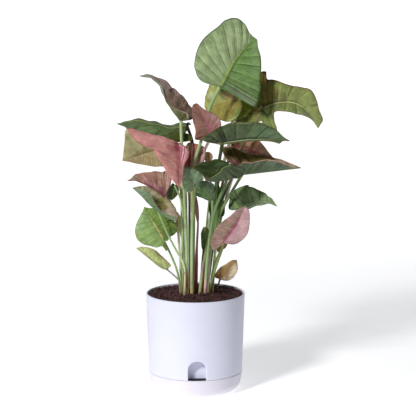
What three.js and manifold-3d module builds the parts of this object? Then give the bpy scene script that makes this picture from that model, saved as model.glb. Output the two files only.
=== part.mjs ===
// A potted pink syngonium: arrow-shaped leaves on upright stalks, soil, and a round white pot with a water
// tray. Millimetres, +Z up. The origin is the middle of the tray's underside and -Y is the front, where the
// niche is.

import * as THREE from "three";
import { mergeVertices } from "three/addons/utils/BufferGeometryUtils.js";
import Module from "manifold-3d";

const wasm = await Module();
wasm.setup();

// Driving dimensions of the pot
const RIM_RADIUS = 55.9;
const POT_HEIGHT = 111;
const SEAM_HEIGHT = 22;
const SEAM_RADIUS = 53.1;
const WALL = 1.8;
const RIM_LIP = 0.9;
const SKIRT_DEPTH = 5;
const GAP = 0.3;
const FLOOR_HEIGHT = 24;
const FLOOR_THICKNESS = 2;
const ROUND_SIDES = 48;

// Driving dimensions of the tray
const TRAY_BASE_RADIUS = 40;
const TRAY_WALL = 2;
const TRAY_FLOOR = 2;

// The niche for pouring water, low at the front and turned a little to the right
const NICHE_WIDTH = 20;
const NICHE_HEIGHT = 22;
const NICHE_DEPTH = 11;
const NICHE_TURN = THREE.MathUtils.degToRad(2.4);

// The slotted foot of the shell, which is full of soil and stands in the water
const FOOT_RADIUS = 15;
const FOOT_WALL = 1.6;
const FOOT_SLOT_COUNT = 6;
const FOOT_SLOT_WIDTH = 3;
const FOOT_SLOT_HEIGHT = 9;

// Soil
const SOIL_EDGE = 109.2;
const SOIL_CROWN = 112.2;

// Leaves and stalks
const BLADE_THICKNESS = 0.8;
const BLADE_ROWS = 16;
const YOUNG_BLADE_ROWS = 8;
const BLADE_COLUMNS = 2;
const STALK_SIDES = 6;
const STALK_STEPS = 8;
const STALK_DEPTH_IN_SOIL = 12;

const COLORS = {
  shell: "#eceaf2",
  tray: "#f3eef2",
  soil: "#48302f",
  stalk: "#8fb56c",
};

function vector(list) {
  return new THREE.Vector3(...list);
}

// Solids for cutting and joining

function solidOf(geometry) {
  const bare = geometry.clone();
  bare.deleteAttribute("normal");
  bare.deleteAttribute("uv");
  const merged = mergeVertices(bare, 1e-4);
  return new wasm.Manifold(
    new wasm.Mesh({
      numProp: 3,
      vertProperties: new Float32Array(merged.attributes.position.array),
      triVerts: new Uint32Array(merged.index.array),
    }),
  );
}

function geometryOf(solid) {
  const mesh = solid.getMesh();
  const geometry = new THREE.BufferGeometry();
  const positions = new Float32Array(mesh.numVert * 3);
  for (let i = 0; i < mesh.numVert; i++) {
    for (let axis = 0; axis < 3; axis++) {
      positions[i * 3 + axis] = mesh.vertProperties[i * mesh.numProp + axis];
    }
  }
  geometry.setAttribute("position", new THREE.BufferAttribute(positions, 3));
  geometry.setIndex(Array.from(mesh.triVerts));
  geometry.computeVertexNormals();
  return geometry;
}

function lathe(profile, sides = ROUND_SIDES) {
  const points = profile.map(([radius, height]) => new THREE.Vector2(radius, height));
  const geometry = new THREE.LatheGeometry(points, sides);
  geometry.rotateX(Math.PI / 2);
  return geometry;
}

// Pot

function shellRadius(height) {
  const share = (height - SEAM_HEIGHT) / (POT_HEIGHT - SEAM_HEIGHT);
  return SEAM_RADIUS + (RIM_RADIUS - SEAM_RADIUS) * share;
}

// The niche is an upright arch, pushed in from the front. grow makes it larger all round.
function nicheGeometry(grow, bottom) {
  const radius = NICHE_WIDTH / 2 + grow;
  const shoulder = SEAM_HEIGHT + NICHE_HEIGHT - NICHE_WIDTH / 2;
  const arch = new THREE.Shape();
  arch.moveTo(-radius, bottom);
  arch.lineTo(radius, bottom);
  arch.lineTo(radius, shoulder);
  arch.absarc(0, shoulder, radius, 0, Math.PI, false);
  arch.closePath();
  const depth = NICHE_DEPTH + 20 + grow;
  const geometry = new THREE.ExtrudeGeometry(arch, { depth, bevelEnabled: false, curveSegments: 10 });
  geometry.rotateX(Math.PI / 2);
  geometry.translate(0, shellRadius(SEAM_HEIGHT) * -1 + NICHE_DEPTH + grow, 0);
  geometry.rotateZ(NICHE_TURN);
  return geometry;
}

function makeShell() {
  const inner = SEAM_RADIUS - WALL;
  const skirt = inner - GAP;
  const outside = solidOf(
    lathe([
      [0, SEAM_HEIGHT - SKIRT_DEPTH],
      [skirt, SEAM_HEIGHT - SKIRT_DEPTH],
      [skirt, SEAM_HEIGHT],
      [SEAM_RADIUS, SEAM_HEIGHT],
      [RIM_RADIUS, POT_HEIGHT - RIM_LIP],
      [RIM_RADIUS - RIM_LIP, POT_HEIGHT],
      [0, POT_HEIGHT],
    ]),
  );
  const cavity = solidOf(
    lathe([
      [0, FLOOR_HEIGHT],
      [inner - 3, FLOOR_HEIGHT],
      [inner, FLOOR_HEIGHT + 3],
      [RIM_RADIUS - WALL, POT_HEIGHT + 1],
      [0, POT_HEIGHT + 1],
    ]),
  );
  const under = solidOf(
    lathe([
      [0, SEAM_HEIGHT - SKIRT_DEPTH - 1],
      [skirt - WALL, SEAM_HEIGHT - SKIRT_DEPTH - 1],
      [skirt - WALL, FLOOR_HEIGHT - FLOOR_THICKNESS],
      [0, FLOOR_HEIGHT - FLOOR_THICKNESS],
    ]),
  );
  const footOutside = solidOf(
    lathe(
      [
        [0, TRAY_FLOOR + GAP],
        [FOOT_RADIUS - 1, TRAY_FLOOR + GAP],
        [FOOT_RADIUS, FLOOR_HEIGHT - 1],
        [0, FLOOR_HEIGHT - 1],
      ],
      28,
    ),
  );
  const footInside = solidOf(
    lathe(
      [
        [0, TRAY_FLOOR + GAP + FOOT_WALL],
        [FOOT_RADIUS - 1 - FOOT_WALL, TRAY_FLOOR + GAP + FOOT_WALL],
        [FOOT_RADIUS - FOOT_WALL, FLOOR_HEIGHT + 1],
        [0, FLOOR_HEIGHT + 1],
      ],
      28,
    ),
  );
  const nicheWall = solidOf(nicheGeometry(WALL, FLOOR_HEIGHT - FLOOR_THICKNESS));
  const niche = solidOf(nicheGeometry(0, SEAM_HEIGHT - SKIRT_DEPTH - 2));
  let shell = outside
    .subtract(cavity.subtract(nicheWall))
    .subtract(under)
    .add(footOutside)
    .subtract(footInside)
    .subtract(niche);
  for (let i = 0; i < FOOT_SLOT_COUNT; i++) {
    const slot = new THREE.BoxGeometry(FOOT_SLOT_WIDTH, 6, FOOT_SLOT_HEIGHT);
    slot.translate(0, FOOT_RADIUS - 1, TRAY_FLOOR + 3 + FOOT_SLOT_HEIGHT / 2);
    slot.rotateZ((i / FOOT_SLOT_COUNT) * Math.PI * 2);
    shell = shell.subtract(solidOf(slot));
  }
  return geometryOf(shell);
}

function makeTray() {
  const inner = SEAM_RADIUS - TRAY_WALL + 0.2;
  const top = SEAM_HEIGHT - GAP;
  const corner = new THREE.EllipseCurve(TRAY_BASE_RADIUS, 12, 11.8, 12, -Math.PI / 2, 0);
  const profile = [[0, 0]];
  for (const point of corner.getPoints(7)) {
    profile.push([point.x, point.y]);
  }
  profile.push([SEAM_RADIUS, top], [inner, top], [inner, 12]);
  const cornerWidth = inner - TRAY_BASE_RADIUS;
  const insideCorner = new THREE.EllipseCurve(TRAY_BASE_RADIUS, 12, cornerWidth, 10, 0, -Math.PI / 2, true);
  for (const point of insideCorner.getPoints(5).slice(1)) {
    profile.push([point.x, point.y]);
  }
  profile.push([0, TRAY_FLOOR]);
  return lathe(profile);
}

// Leaf blades

// One half of a usual blade: lobe, belly and long tip.
function half(width, lobe = 0.28) {
  return [
    [-0.5 * lobe, 0.2 * width],
    [-lobe, 0.5 * width],
    [-0.75 * lobe, 0.78 * width],
    [0.08, width],
    [0.4, 0.88 * width],
    [0.7, 0.5 * width],
    [0.9, 0.15 * width],
  ];
}

// Further bends of a midrib: sway lists [share, across, up], and the offset eases from one to the next.
function swayAt(leaf, share) {
  if (share <= 0 || share >= 1) {
    return [0, 0];
  }
  const knots = [[0, 0, 0], ...(leaf.sway ?? []), [1, 0, 0]];
  const next = knots.findIndex((knot) => knot[0] >= share);
  const from = knots[next - 1];
  const to = knots[next];
  const step = (share - from[0]) / (to[0] - from[0]);
  const ease = step * step * (3 - 2 * step);
  return [1, 2].map((i) => from[i] + (to[i] - from[i]) * ease);
}

// The midrib is a parabola from the base to the tip. bow lifts its middle to the upper face's side, drift
// moves it sideways, hook bends the last quarter down, and sway adds its own steps between them.
function midrib(leaf) {
  const base = vector(leaf.base);
  const chord = vector(leaf.tip).sub(base);
  const length = chord.length();
  const along = chord.clone().normalize();
  const face = vector(leaf.face).normalize();
  const across = along.clone().cross(face).normalize();
  const up = across.clone().cross(along);
  const point = (share) => {
    const arch = share > 0 ? 4 * share * (1 - share) : 4 * share;
    const bend = Math.max(0, share - 0.7) / 0.3;
    const [swayAcross, swayUp] = swayAt(leaf, share);
    return base
      .clone()
      .addScaledVector(chord, share)
      .addScaledVector(up, (leaf.bow ?? 0) * arch - (leaf.hook ?? 0) * bend * bend + swayUp)
      .addScaledVector(across, (leaf.drift ?? 0) * arch + swayAcross);
  };
  const frame = (share) => {
    const step = 0.01;
    const forward = point(share + step).sub(point(share - step)).normalize();
    const turn = THREE.MathUtils.degToRad((leaf.twist ?? 0) * share);
    const side = forward.clone().cross(up).normalize().applyAxisAngle(forward, turn);
    return { side, normal: side.clone().cross(forward) };
  };
  return { point, frame, length };
}

// A point of the blade, share along the midrib and reach across it as fractions of the midrib's length. A
// half leaves the midrib at its fold angle and turns by its curl angle over half a midrib's length.
function bladePoint(rib, leaf, sideIndex, share, reach) {
  const sign = sideIndex === 0 ? -1 : 1;
  const fold = THREE.MathUtils.degToRad(leaf.fold?.[sideIndex] ?? 0);
  const curl = THREE.MathUtils.degToRad(leaf.curl?.[sideIndex] ?? 0) / 0.5;
  const turned = fold + curl * reach;
  const flat = Math.abs(curl) < 1e-6;
  const out = flat ? reach * Math.cos(fold) : (Math.sin(turned) - Math.sin(fold)) / curl;
  const lift = flat ? reach * Math.sin(fold) : (Math.cos(fold) - Math.cos(turned)) / curl;
  const { side, normal } = rib.frame(share);
  return rib
    .point(share)
    .addScaledVector(side, sign * out * rib.length)
    .addScaledVector(normal, lift * rib.length);
}

// Where the vein that ends at a share of the outline starts on the midrib.
function veinStart(share) {
  const start = Math.max(0, (share - 0.3) / 0.7);
  return start ** 1.25;
}

function bladeGrid(leaf, rowCount) {
  const rib = midrib(leaf);
  const halves = [leaf.left, leaf.right].map((outline) => {
    const corners = [[0, 0], ...outline, [1, 0]];
    const knots = corners.map(([along, across]) => new THREE.Vector3(along, across, 0));
    return new THREE.CatmullRomCurve3(knots, false, "centripetal");
  });
  const rows = [];
  for (let i = 0; i <= rowCount; i++) {
    const share = i / rowCount;
    const start = veinStart(share);
    const row = [];
    for (let j = -BLADE_COLUMNS; j <= BLADE_COLUMNS; j++) {
      const sideIndex = j < 0 ? 0 : 1;
      const edge = halves[sideIndex].getPoint(share);
      const part = Math.abs(j) / BLADE_COLUMNS;
      const along = THREE.MathUtils.lerp(start, edge.x, part);
      row.push(bladePoint(rib, leaf, sideIndex, along, edge.y * part));
    }
    rows.push(row);
  }
  return rows;
}

// The closed solid between two sheets, half the blade's thickness above and below the grid.
function makeBlade(leaf, rowCount) {
  const rows = bladeGrid(leaf, rowCount);
  const points = [];
  const lookup = new Map();
  const ids = rows.map((row) =>
    row.map((point) => {
      const key = point.toArray().map((value) => value.toFixed(3)).join();
      if (!lookup.has(key)) {
        lookup.set(key, points.length);
        points.push(point);
      }
      return lookup.get(key);
    }),
  );
  const faces = [];
  const addFace = (a, b, c) => {
    if (a !== b && b !== c && c !== a) {
      faces.push([a, b, c]);
    }
  };
  for (let i = 0; i + 1 < ids.length; i++) {
    for (let j = 0; j + 1 < ids[i].length; j++) {
      const [a, b, c, d] = [ids[i][j], ids[i][j + 1], ids[i + 1][j + 1], ids[i + 1][j]];
      if (j < BLADE_COLUMNS) {
        addFace(a, b, c);
        addFace(a, c, d);
      } else {
        addFace(a, b, d);
        addFace(b, c, d);
      }
    }
  }
  const normals = points.map(() => new THREE.Vector3());
  for (const [a, b, c] of faces) {
    const normal = points[b].clone().sub(points[a]).cross(points[c].clone().sub(points[a]));
    normals[a].add(normal);
    normals[b].add(normal);
    normals[c].add(normal);
  }
  const positions = [];
  for (const sign of [1, -1]) {
    points.forEach((point, i) => {
      const offset = normals[i].clone().normalize();
      positions.push(...point.clone().addScaledVector(offset, (sign * BLADE_THICKNESS) / 2).toArray());
    });
  }
  const count = points.length;
  const index = [];
  const edges = new Map();
  for (const [a, b, c] of faces) {
    index.push(a, b, c, a + count, c + count, b + count);
    for (const [from, to] of [[a, b], [b, c], [c, a]]) {
      edges.set(`${from},${to}`, [from, to]);
    }
  }
  for (const [from, to] of edges.values()) {
    if (!edges.has(`${to},${from}`)) {
      index.push(to, from, from + count, to, from + count, to + count);
    }
  }
  const geometry = new THREE.BufferGeometry();
  geometry.setAttribute("position", new THREE.Float32BufferAttribute(positions, 3));
  geometry.setIndex(index);
  geometry.computeVertexNormals();
  return geometry;
}

// Stalks

function tube(points, radius, steps = STALK_STEPS) {
  const path = new THREE.CatmullRomCurve3(points, false, "centripetal");
  const section = new THREE.Shape();
  for (let i = 0; i < STALK_SIDES; i++) {
    const angle = (i / STALK_SIDES) * Math.PI * 2;
    section[i === 0 ? "moveTo" : "lineTo"](radius * Math.cos(angle), radius * Math.sin(angle));
  }
  section.closePath();
  return new THREE.ExtrudeGeometry(section, { steps, extrudePath: path, bevelEnabled: false });
}

// A stalk comes up out of the soil, runs through its listed points and ends under the blade's base.
function stalkPoints(leaf, seat) {
  const foot = new THREE.Vector3(leaf.foot[0], leaf.foot[1], SOIL_EDGE - STALK_DEPTH_IN_SOIL);
  const middle = leaf.via.map(vector);
  const rib = midrib(leaf);
  const { normal } = rib.frame(0);
  const arrival = vector(leaf.base).sub(middle.at(-1)).normalize();
  const tilt = Math.sqrt(Math.max(0, 1 - arrival.dot(normal) ** 2));
  const clearance = BLADE_THICKNESS / 2 + GAP + leaf.radius * tilt + (leaf.under ?? 0);
  const end = vector(leaf.base).addScaledVector(normal, seat ? -clearance : 0);
  return [foot, ...middle, end];
}

const LEAVES = [
  {
    name: "leaf_a",
    base: [27, 0, 343.7],
    tip: [64.8, 12, 398.2],
    face: [-0.2, -1, 0.15],
    left: [
      [-0.034, 0.086], [-0.08, 0.21], [-0.09, 0.34], [0.01, 0.49], [0.25, 0.59], [0.42, 0.63],
      [0.55, 0.62], [0.75, 0.57], [0.97, 0.54], [1.1, 0.41], [1.1, 0.25], [1.02, 0.09],
    ],
    right: [
      [-0.01, 0.1], [-0, 0.25], [0.007, 0.49], [0.02, 0.72], [0.12, 0.69], [0.32, 0.61], [0.63, 0.47],
      [0.79, 0.33], [0.91, 0.16], [0.99, 0.08],
    ],
    sway: [[0.45, -2.4, 0.5]],
    fold: [6, 8],
    foot: [-3, 1],
    via: [[-3, 4, 180], [-3, 4, 225], [-1, 5, 257], [7, 7, 285], [16, 7, 319]],
    radius: 2,
    color: "#7d9a63",
  },
  {
    name: "leaf_b",
    base: [75.8, 12, 318.5],
    tip: [135.8, -12, 298.1],
    face: [0.1, -0.9, 0.45],
    left: [
      [-0.01, 0.11], [0.03, 0.29], [0.07, 0.49], [0.11, 0.62], [0.14, 0.61], [0.14, 0.46],
      [0.18, 0.43], [0.26, 0.36], [0.35, 0.3], [0.46, 0.3], [0.57, 0.32], [0.68, 0.25], [0.81, 0.16],
      [0.93, 0.13], [0.97, 0.06],
    ],
    right: [
      [-0.06, 0.05], [-0.07, 0.22], [-0.02, 0.44], [0.09, 0.5], [0.09, 0.36], [0.12, 0.16],
      [0.31, 0.18], [0.57, 0.18], [0.75, 0.1], [0.87, 0.03], [0.95, 0.01],
    ],
    bow: 5,
    drift: -17,
    fold: [8, 0],
    foot: [13, 6],
    via: [[15, 5, 144], [22, 4, 190], [31, 8, 218], [41, 14, 241], [53, 22, 273], [58, 20, 285]],
    radius: 1.8,
    color: "#7d8a3c",
  },
  {
    name: "leaf_c",
    base: [73.3, 39, 317.6],
    tip: [39.2, 37, 297.9],
    face: [0, -1, 0.3],
    left: half(0.36, 0.2),
    right: half(0.5, 0.3),
    foot: [17, 11],
    via: [[26, 14, 180], [43, 34, 240], [62, 44, 290]],
    radius: 1.6,
    color: "#6f8f46",
  },
  {
    name: "leaf_d",
    base: [51.3, 20, 330.2],
    tip: [9.9, 50, 317.1],
    face: [0, -1, 0.2],
    left: [[0, 0.14], [0.09, 0.31], [0.24, 0.43], [0.44, 0.44], [0.67, 0.34], [0.83, 0.22], [0.93, 0.11]],
    right: [[0.05, 0.15], [0.22, 0.34], [0.52, 0.48], [0.76, 0.44], [0.85, 0.33], [0.94, 0.17]],
    foot: [6, 17],
    via: [
      [9, 20, 150],
      [16, 23, 190],
      [26.5, 25, 237],
      [40.1, 26, 284.6],
      [44.2, 27, 303.2],
      [48.3, 26, 320],
    ],
    radius: 1.9,
    color: "#9aa33f",
  },
  {
    name: "leaf_f",
    base: [-15.8, -2, 306.1],
    tip: [-61.7, 12, 355.9],
    face: [0.6, -0.55, 0.6],
    left: [
      [-0.036, 0.074], [-0.08, 0.17], [0.01, 0.2], [0.17, 0.09], [0.3, 0.03], [0.47, 0.02],
      [0.57, 0.04], [0.71, 0.02], [0.86, 0.02],
    ],
    right: [
      [-0.05, 0.07], [-0.09, 0.18], [0.07, 0.32], [0.16, 0.31], [0.32, 0.31], [0.49, 0.25],
      [0.64, 0.16], [0.74, 0.1], [0.85, 0.05], [0.91, 0.05],
    ],
    sway: [[0.15, 0.3, 0.4], [0.35, 1.3, 1.7], [0.52, 3.2, 4.3], [0.66, 5.3, 7.1], [0.82, 4.7, 6.2]],
    fold: [80, 20],
    foot: [-11, -9],
    via: [[-14, -8, 150], [-15, -6, 210], [-15, -4, 265]],
    radius: 1.9,
    color: "#6b5546",
  },
  {
    name: "leaf_g",
    base: [-9.4, 11, 299.5],
    tip: [-86.6, -8, 303.3],
    face: [0, -0.7, 0.7],
    left: [[-0.02, 0.05], [0.06, 0.12], [0.23, 0.14], [0.45, 0.17], [0.64, 0.16], [0.83, 0.11], [0.93, 0.05]],
    right: half(0.3, 0.1),
    sway: [[0.22, -2.4, -2.1], [0.45, 0.5, 0.4], [0.7, 3.1, 2.7], [0.86, 1.5, 1.3]],
    fold: [-45, -42],
    under: 2,
    foot: [-6, 11],
    via: [[-7, 14, 170], [-6, 15, 240], [-3, 14, 278]],
    radius: 1.6,
    color: "#44663c",
  },
  {
    name: "leaf_h",
    base: [-16.4, -30, 282.7],
    tip: [-17.2, -50, 237.3],
    face: [0, -1, 0.35],
    left: [[0.06, 0.13], [0.21, 0.25], [0.39, 0.23], [0.51, 0.14], [0.69, 0.11], [0.87, 0.08]],
    right: [
      [-0.046, 0.108], [-0.13, 0.32], [-0.17, 0.54], [-0.237, 0.958], [-0.27, 1.16], [-0.08, 1.05],
      [0.04, 0.91], [0.12, 0.73], [0.13, 0.62], [0.26, 0.54], [0.43, 0.43], [0.72, 0.25], [0.86, 0.14],
    ],
    fold: [40, 10],
    foot: [-9, -14],
    via: [[-10, -20, 170], [-12, -26, 225], [-13, -26, 262]],
    radius: 1.7,
    color: "#c58482",
  },
  {
    name: "leaf_i",
    base: [-27, 26, 273],
    tip: [-82, 8, 260],
    face: [0, -1, 0.3],
    left: half(0.34, 0.15),
    right: [[-0.05, 0.2], [0.07, 0.32], [0.32, 0.5], [0.74, 0.58], [0.88, 0.3]],
    fold: [10, 10],
    foot: [-12, 11],
    via: [[-14, 16, 170], [-17, 24, 225], [-22, 27, 258]],
    radius: 1.6,
    color: "#a8a374",
  },
  {
    name: "leaf_j",
    base: [-31.6, -7, 222.1],
    tip: [-74.8, -20, 241.7],
    face: [-0.2, -0.8, 0.6],
    left: [[0.04, 0.08], [0.24, 0.1], [0.45, 0.09], [0.64, 0.03], [0.81, 0.01]],
    right: [
      [-0.07, 0.1], [0.09, 0.34], [0.21, 0.49], [0.42, 0.4], [0.55, 0.29], [0.7, 0.23], [0.82, 0.15],
      [0.9, 0.06],
    ],
    sway: [[0.25, 2, 1], [0.5, 3.5, 1.8], [0.8, 3, 1.5]],
    fold: [20, 10],
    foot: [-15, -4],
    via: [[-18, -5, 160], [-22, -9, 200]],
    radius: 1.5,
    color: "#a97f72",
  },
  {
    name: "leaf_l",
    base: [-39.7, -34, 208.1],
    tip: [-67.7, -40, 236],
    face: [0.6, -0.55, 0.6],
    left: [
      [-0.24, 0.04], [-0.38, 0.11], [-0.48, 0.18], [-0.45, 0.33], [-0.31, 0.24], [-0.16, 0.14],
      [0, 0.1], [0.16, 0.14], [0.34, 0.21], [0.54, 0.31], [0.69, 0.31], [0.83, 0.18],
    ],
    right: [
      [-0.21, 0.04], [-0.42, 0.12], [-0.56, 0.2], [-0.54, 0.31], [-0.39, 0.41], [-0.21, 0.47],
      [-0.07, 0.52], [0.14, 0.45], [0.44, 0.42], [0.68, 0.33], [0.82, 0.22], [0.92, 0.11],
    ],
    sway: [[0.35, -0.4, -0.5], [0.7, 0.2, 0.2]],
    fold: [80, 20],
    foot: [-13, -20],
    via: [[-12.5, -22, 145.4], [-20.8, -25, 162.9], [-28.9, -28.5, 179.3], [-35.9, -32, 196.6]],
    radius: 1.2,
    color: "#8d8f6a",
  },
  {
    name: "leaf_m",
    base: [-35.9, -18, 175.2],
    tip: [-56.7, -22, 211.9],
    face: [-0.1, -1, 0.2],
    left: [
      [-0.3, 0.02], [-0.32, 0.09], [-0.16, 0.12], [-0.1, 0.27], [0.02, 0.39], [0.18, 0.53],
      [0.39, 0.58], [0.57, 0.52], [0.73, 0.38], [0.86, 0.19], [0.94, 0.06],
    ],
    right: [
      [-0.1, 0.06], [-0.05, 0.18], [-0.03, 0.34], [0.03, 0.45], [0.18, 0.51], [0.35, 0.47],
      [0.58, 0.36], [0.82, 0.23], [0.93, 0.08],
    ],
    fold: [5, 5],
    foot: [-15, -9],
    via: [[-20, -12, 136], [-28, -11, 157]],
    radius: 1.3,
    color: "#82a352",
  },
  {
    name: "leaf_n",
    base: [-32.4, 8, 136.2],
    tip: [-66.4, -2, 162.2],
    face: [0.2, -0.8, 0.6],
    left: [[0.09, 0.09], [0.28, 0.12], [0.51, 0.09], [0.71, 0.06], [0.88, 0.02]],
    right: [
      [-0.032, 0.086], [-0.05, 0.14], [0.1, 0.18], [0.33, 0.22], [0.54, 0.24], [0.74, 0.19],
      [0.91, 0.1],
    ],
    fold: [25, 10],
    foot: [-11, 16],
    via: [[-17, 14, 119]],
    radius: 0.9,
    color: "#a3a858",
  },
  {
    name: "leaf_o",
    base: [18.7, 0, 290.9],
    tip: [0.9, -4, 325.4],
    face: [-0.1, -1, 0.1],
    left: [[-0.02, 0.21], [0.02, 0.41], [0.09, 0.5], [0.3, 0.38], [0.59, 0.31], [0.83, 0.22], [1, 0.1]],
    right: [[0.02, 0.17], [0.08, 0.33], [0.28, 0.4], [0.48, 0.34], [0.67, 0.18], [0.85, 0.08], [0.96, 0.04]],
    fold: [5, 5],
    foot: [-3, 8],
    via: [[-2, 10, 180], [-1, 12, 230], [6, 15, 262], [12, 13.5, 275]],
    radius: 1.7,
    color: "#94685f",
  },
  {
    name: "leaf_p",
    base: [29.5, -28, 283],
    tip: [102.2, -48, 288.5],
    face: [0, -0.5, 0.87],
    left: [
      [-0.14, 0.04], [-0.26, 0.12], [-0.25, 0.17], [-0.14, 0.24], [0.01, 0.3], [0.15, 0.34],
      [0.33, 0.33], [0.51, 0.3], [0.66, 0.22], [0.78, 0.15], [0.87, 0.07], [0.93, 0.03],
    ],
    right: [[0.06, 0.1], [0.24, 0.12], [0.43, 0.11], [0.67, 0.12], [0.84, 0.16], [0.94, 0.19], [0.94, 0.08]],
    fold: [20, 20],
    drift: -5,
    foot: [8, -5],
    via: [[11, -7, 144], [16, -6, 172], [21, -6, 205], [24, -11, 245]],
    radius: 2,
    color: "#3f5c3a",
  },
  {
    name: "leaf_q",
    base: [52.1, -8, 247],
    tip: [116.7, -22, 255.9],
    face: [0, -0.1, 1],
    left: [
      [-0.148, 0.162], [-0.23, 0.26], [-0.31, 0.39], [-0.35, 0.55], [-0.21, 0.57], [-0.07, 0.49],
      [0.07, 0.4], [0.24, 0.34], [0.48, 0.28], [0.66, 0.2], [0.83, 0.1],
    ],
    right: [
      [-0, 0.14], [0.05, 0.2], [0.2, 0.18], [0.37, 0.2], [0.51, 0.19], [0.62, 0.16], [0.73, 0.09],
      [0.85, 0.03],
    ],
    fold: [48, 85],
    foot: [13, -3],
    via: [[17, -3, 160], [26, -4, 198], [38, -6, 222]],
    under: -0.7,
    radius: 1.7,
    color: "#47583a",
  },
  {
    name: "leaf_r",
    base: [38.1, -42, 261],
    tip: [12.1, -62, 246],
    face: [0, -0.95, 0.5],
    left: [
      [-0.13, 0.13], [-0.29, 0.33], [-0.12, 0.47], [0.05, 0.49], [0.47, 0.36], [0.6, 0.26],
      [0.81, 0.16],
    ],
    right: [[-0.01, 0.1], [0.166, 0.24], [0.3, 0.42], [0.83, 0.58], [1.03, 0.59], [0.99, 0.39], [0.97, 0.17]],
    sway: [[0.25, 1.2, 0.8], [0.5, -1.1, 1.3]],
    foot: [10, -12],
    via: [[14, -22, 160], [22, -32, 210], [34, -38, 242]],
    radius: 1.7,
    color: "#38502e",
  },
  {
    name: "leaf_s",
    base: [42, 35, 275],
    tip: [88, 28, 262],
    face: [0, -1, 0.2],
    left: half(0.42, 0.2),
    right: half(0.3, 0.1),
    fold: [10, 0],
    foot: [11, 14],
    via: [[18.5, 15.5, 180], [33, 32, 240]],
    radius: 1.7,
    color: "#8a5a4c",
  },
  {
    name: "leaf_u",
    base: [-0.1, -30, 235.3],
    tip: [-18.5, -38, 256.7],
    face: [0, -1, 0.3],
    left: [[-0.02, 0.19], [0.05, 0.34], [0.28, 0.29], [0.57, 0.19], [0.81, 0.1]],
    right: [
      [-0.03, 0.08], [0.003, 0.304], [0.01, 0.45], [0.27, 0.49], [0.55, 0.43], [0.77, 0.31],
      [0.93, 0.15],
    ],
    fold: [5, 5],
    foot: [-4, -15],
    via: [[-4, -18, 150], [-3, -24, 200]],
    radius: 1.9,
    color: "#728e68",
  },
  {
    name: "leaf_v",
    base: [19.2, -16, 218.3],
    tip: [4.3, -24, 240.6],
    face: [0, -1, 0.15],
    left: [[0.11, 0.15], [0.35, 0.28], [0.62, 0.42], [0.79, 0.31], [0.92, 0.13]],
    right: [[0, 0.1], [0.11, 0.24], [0.34, 0.34], [0.55, 0.41], [0.78, 0.29], [0.93, 0.15]],
    foot: [4, -11],
    via: [[7, -13, 133], [12, -14, 161], [19, -15, 195]],
    radius: 1.9,
    color: "#4c6a40",
  },
  {
    name: "leaf_x",
    base: [50.1, -4, 207],
    tip: [91.4, -18, 212.4],
    face: [0, -0.8, 0.6],
    left: [
      [-0.16, 0], [-0.3, 0.02], [-0.29, 0.29], [-0.26, 0.47], [-0.07, 0.55], [0.23, 0.53],
      [0.42, 0.43], [0.51, 0.29], [0.65, 0.22], [0.81, 0.11],
    ],
    right: [[0.08, 0.08], [0.17, 0.15], [0.34, 0.13], [0.58, 0.13], [0.72, 0.07], [0.87, 0.02]],
    sway: [[0.25, -4, 2.3], [0.5, -6.2, 3.6], [0.75, -4.7, 2.7]],
    fold: [10, 0],
    foot: [16, 4],
    via: [[21, 4, 140], [36, 5, 172]],
    radius: 1.5,
    color: "#56743f",
  },
  {
    name: "leaf_y",
    base: [31.9, -30, 172.8],
    tip: [55.2, -42, 215.4],
    face: [0, -1, 0.2],
    left: [
      [-0.17, 0.06], [-0.27, 0.12], [-0.21, 0.22], [-0.09, 0.29], [0.05, 0.31], [0.2, 0.34],
      [0.39, 0.32], [0.66, 0.22], [0.89, 0.11],
    ],
    right: [[0.06, 0.13], [0.16, 0.23], [0.32, 0.28], [0.45, 0.3], [0.63, 0.26], [0.83, 0.19], [0.96, 0.11]],
    sway: [[0.45, 2.2, -0.7]],
    fold: [5, 5],
    foot: [14, -12],
    via: [[20, -20, 134]],
    radius: 1.5,
    color: "#b08078",
  },
  {
    name: "leaf_aa",
    base: [27.9, 16, 123],
    tip: [46.6, 8, 146.6],
    face: [0.1, -1, 0.2],
    left: [[-0.06, 0.14], [-0.06, 0.23], [0.18, 0.28], [0.41, 0.27], [0.62, 0.2], [0.89, 0.12]],
    right: [[0.1, 0.19], [0.27, 0.31], [0.51, 0.34], [0.76, 0.28], [0.92, 0.13]],
    fold: [5, 20],
    foot: [24, 18],
    via: [[25, 18, 112]],
    radius: 1.1,
    color: "#a9814e",
  },
];

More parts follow.
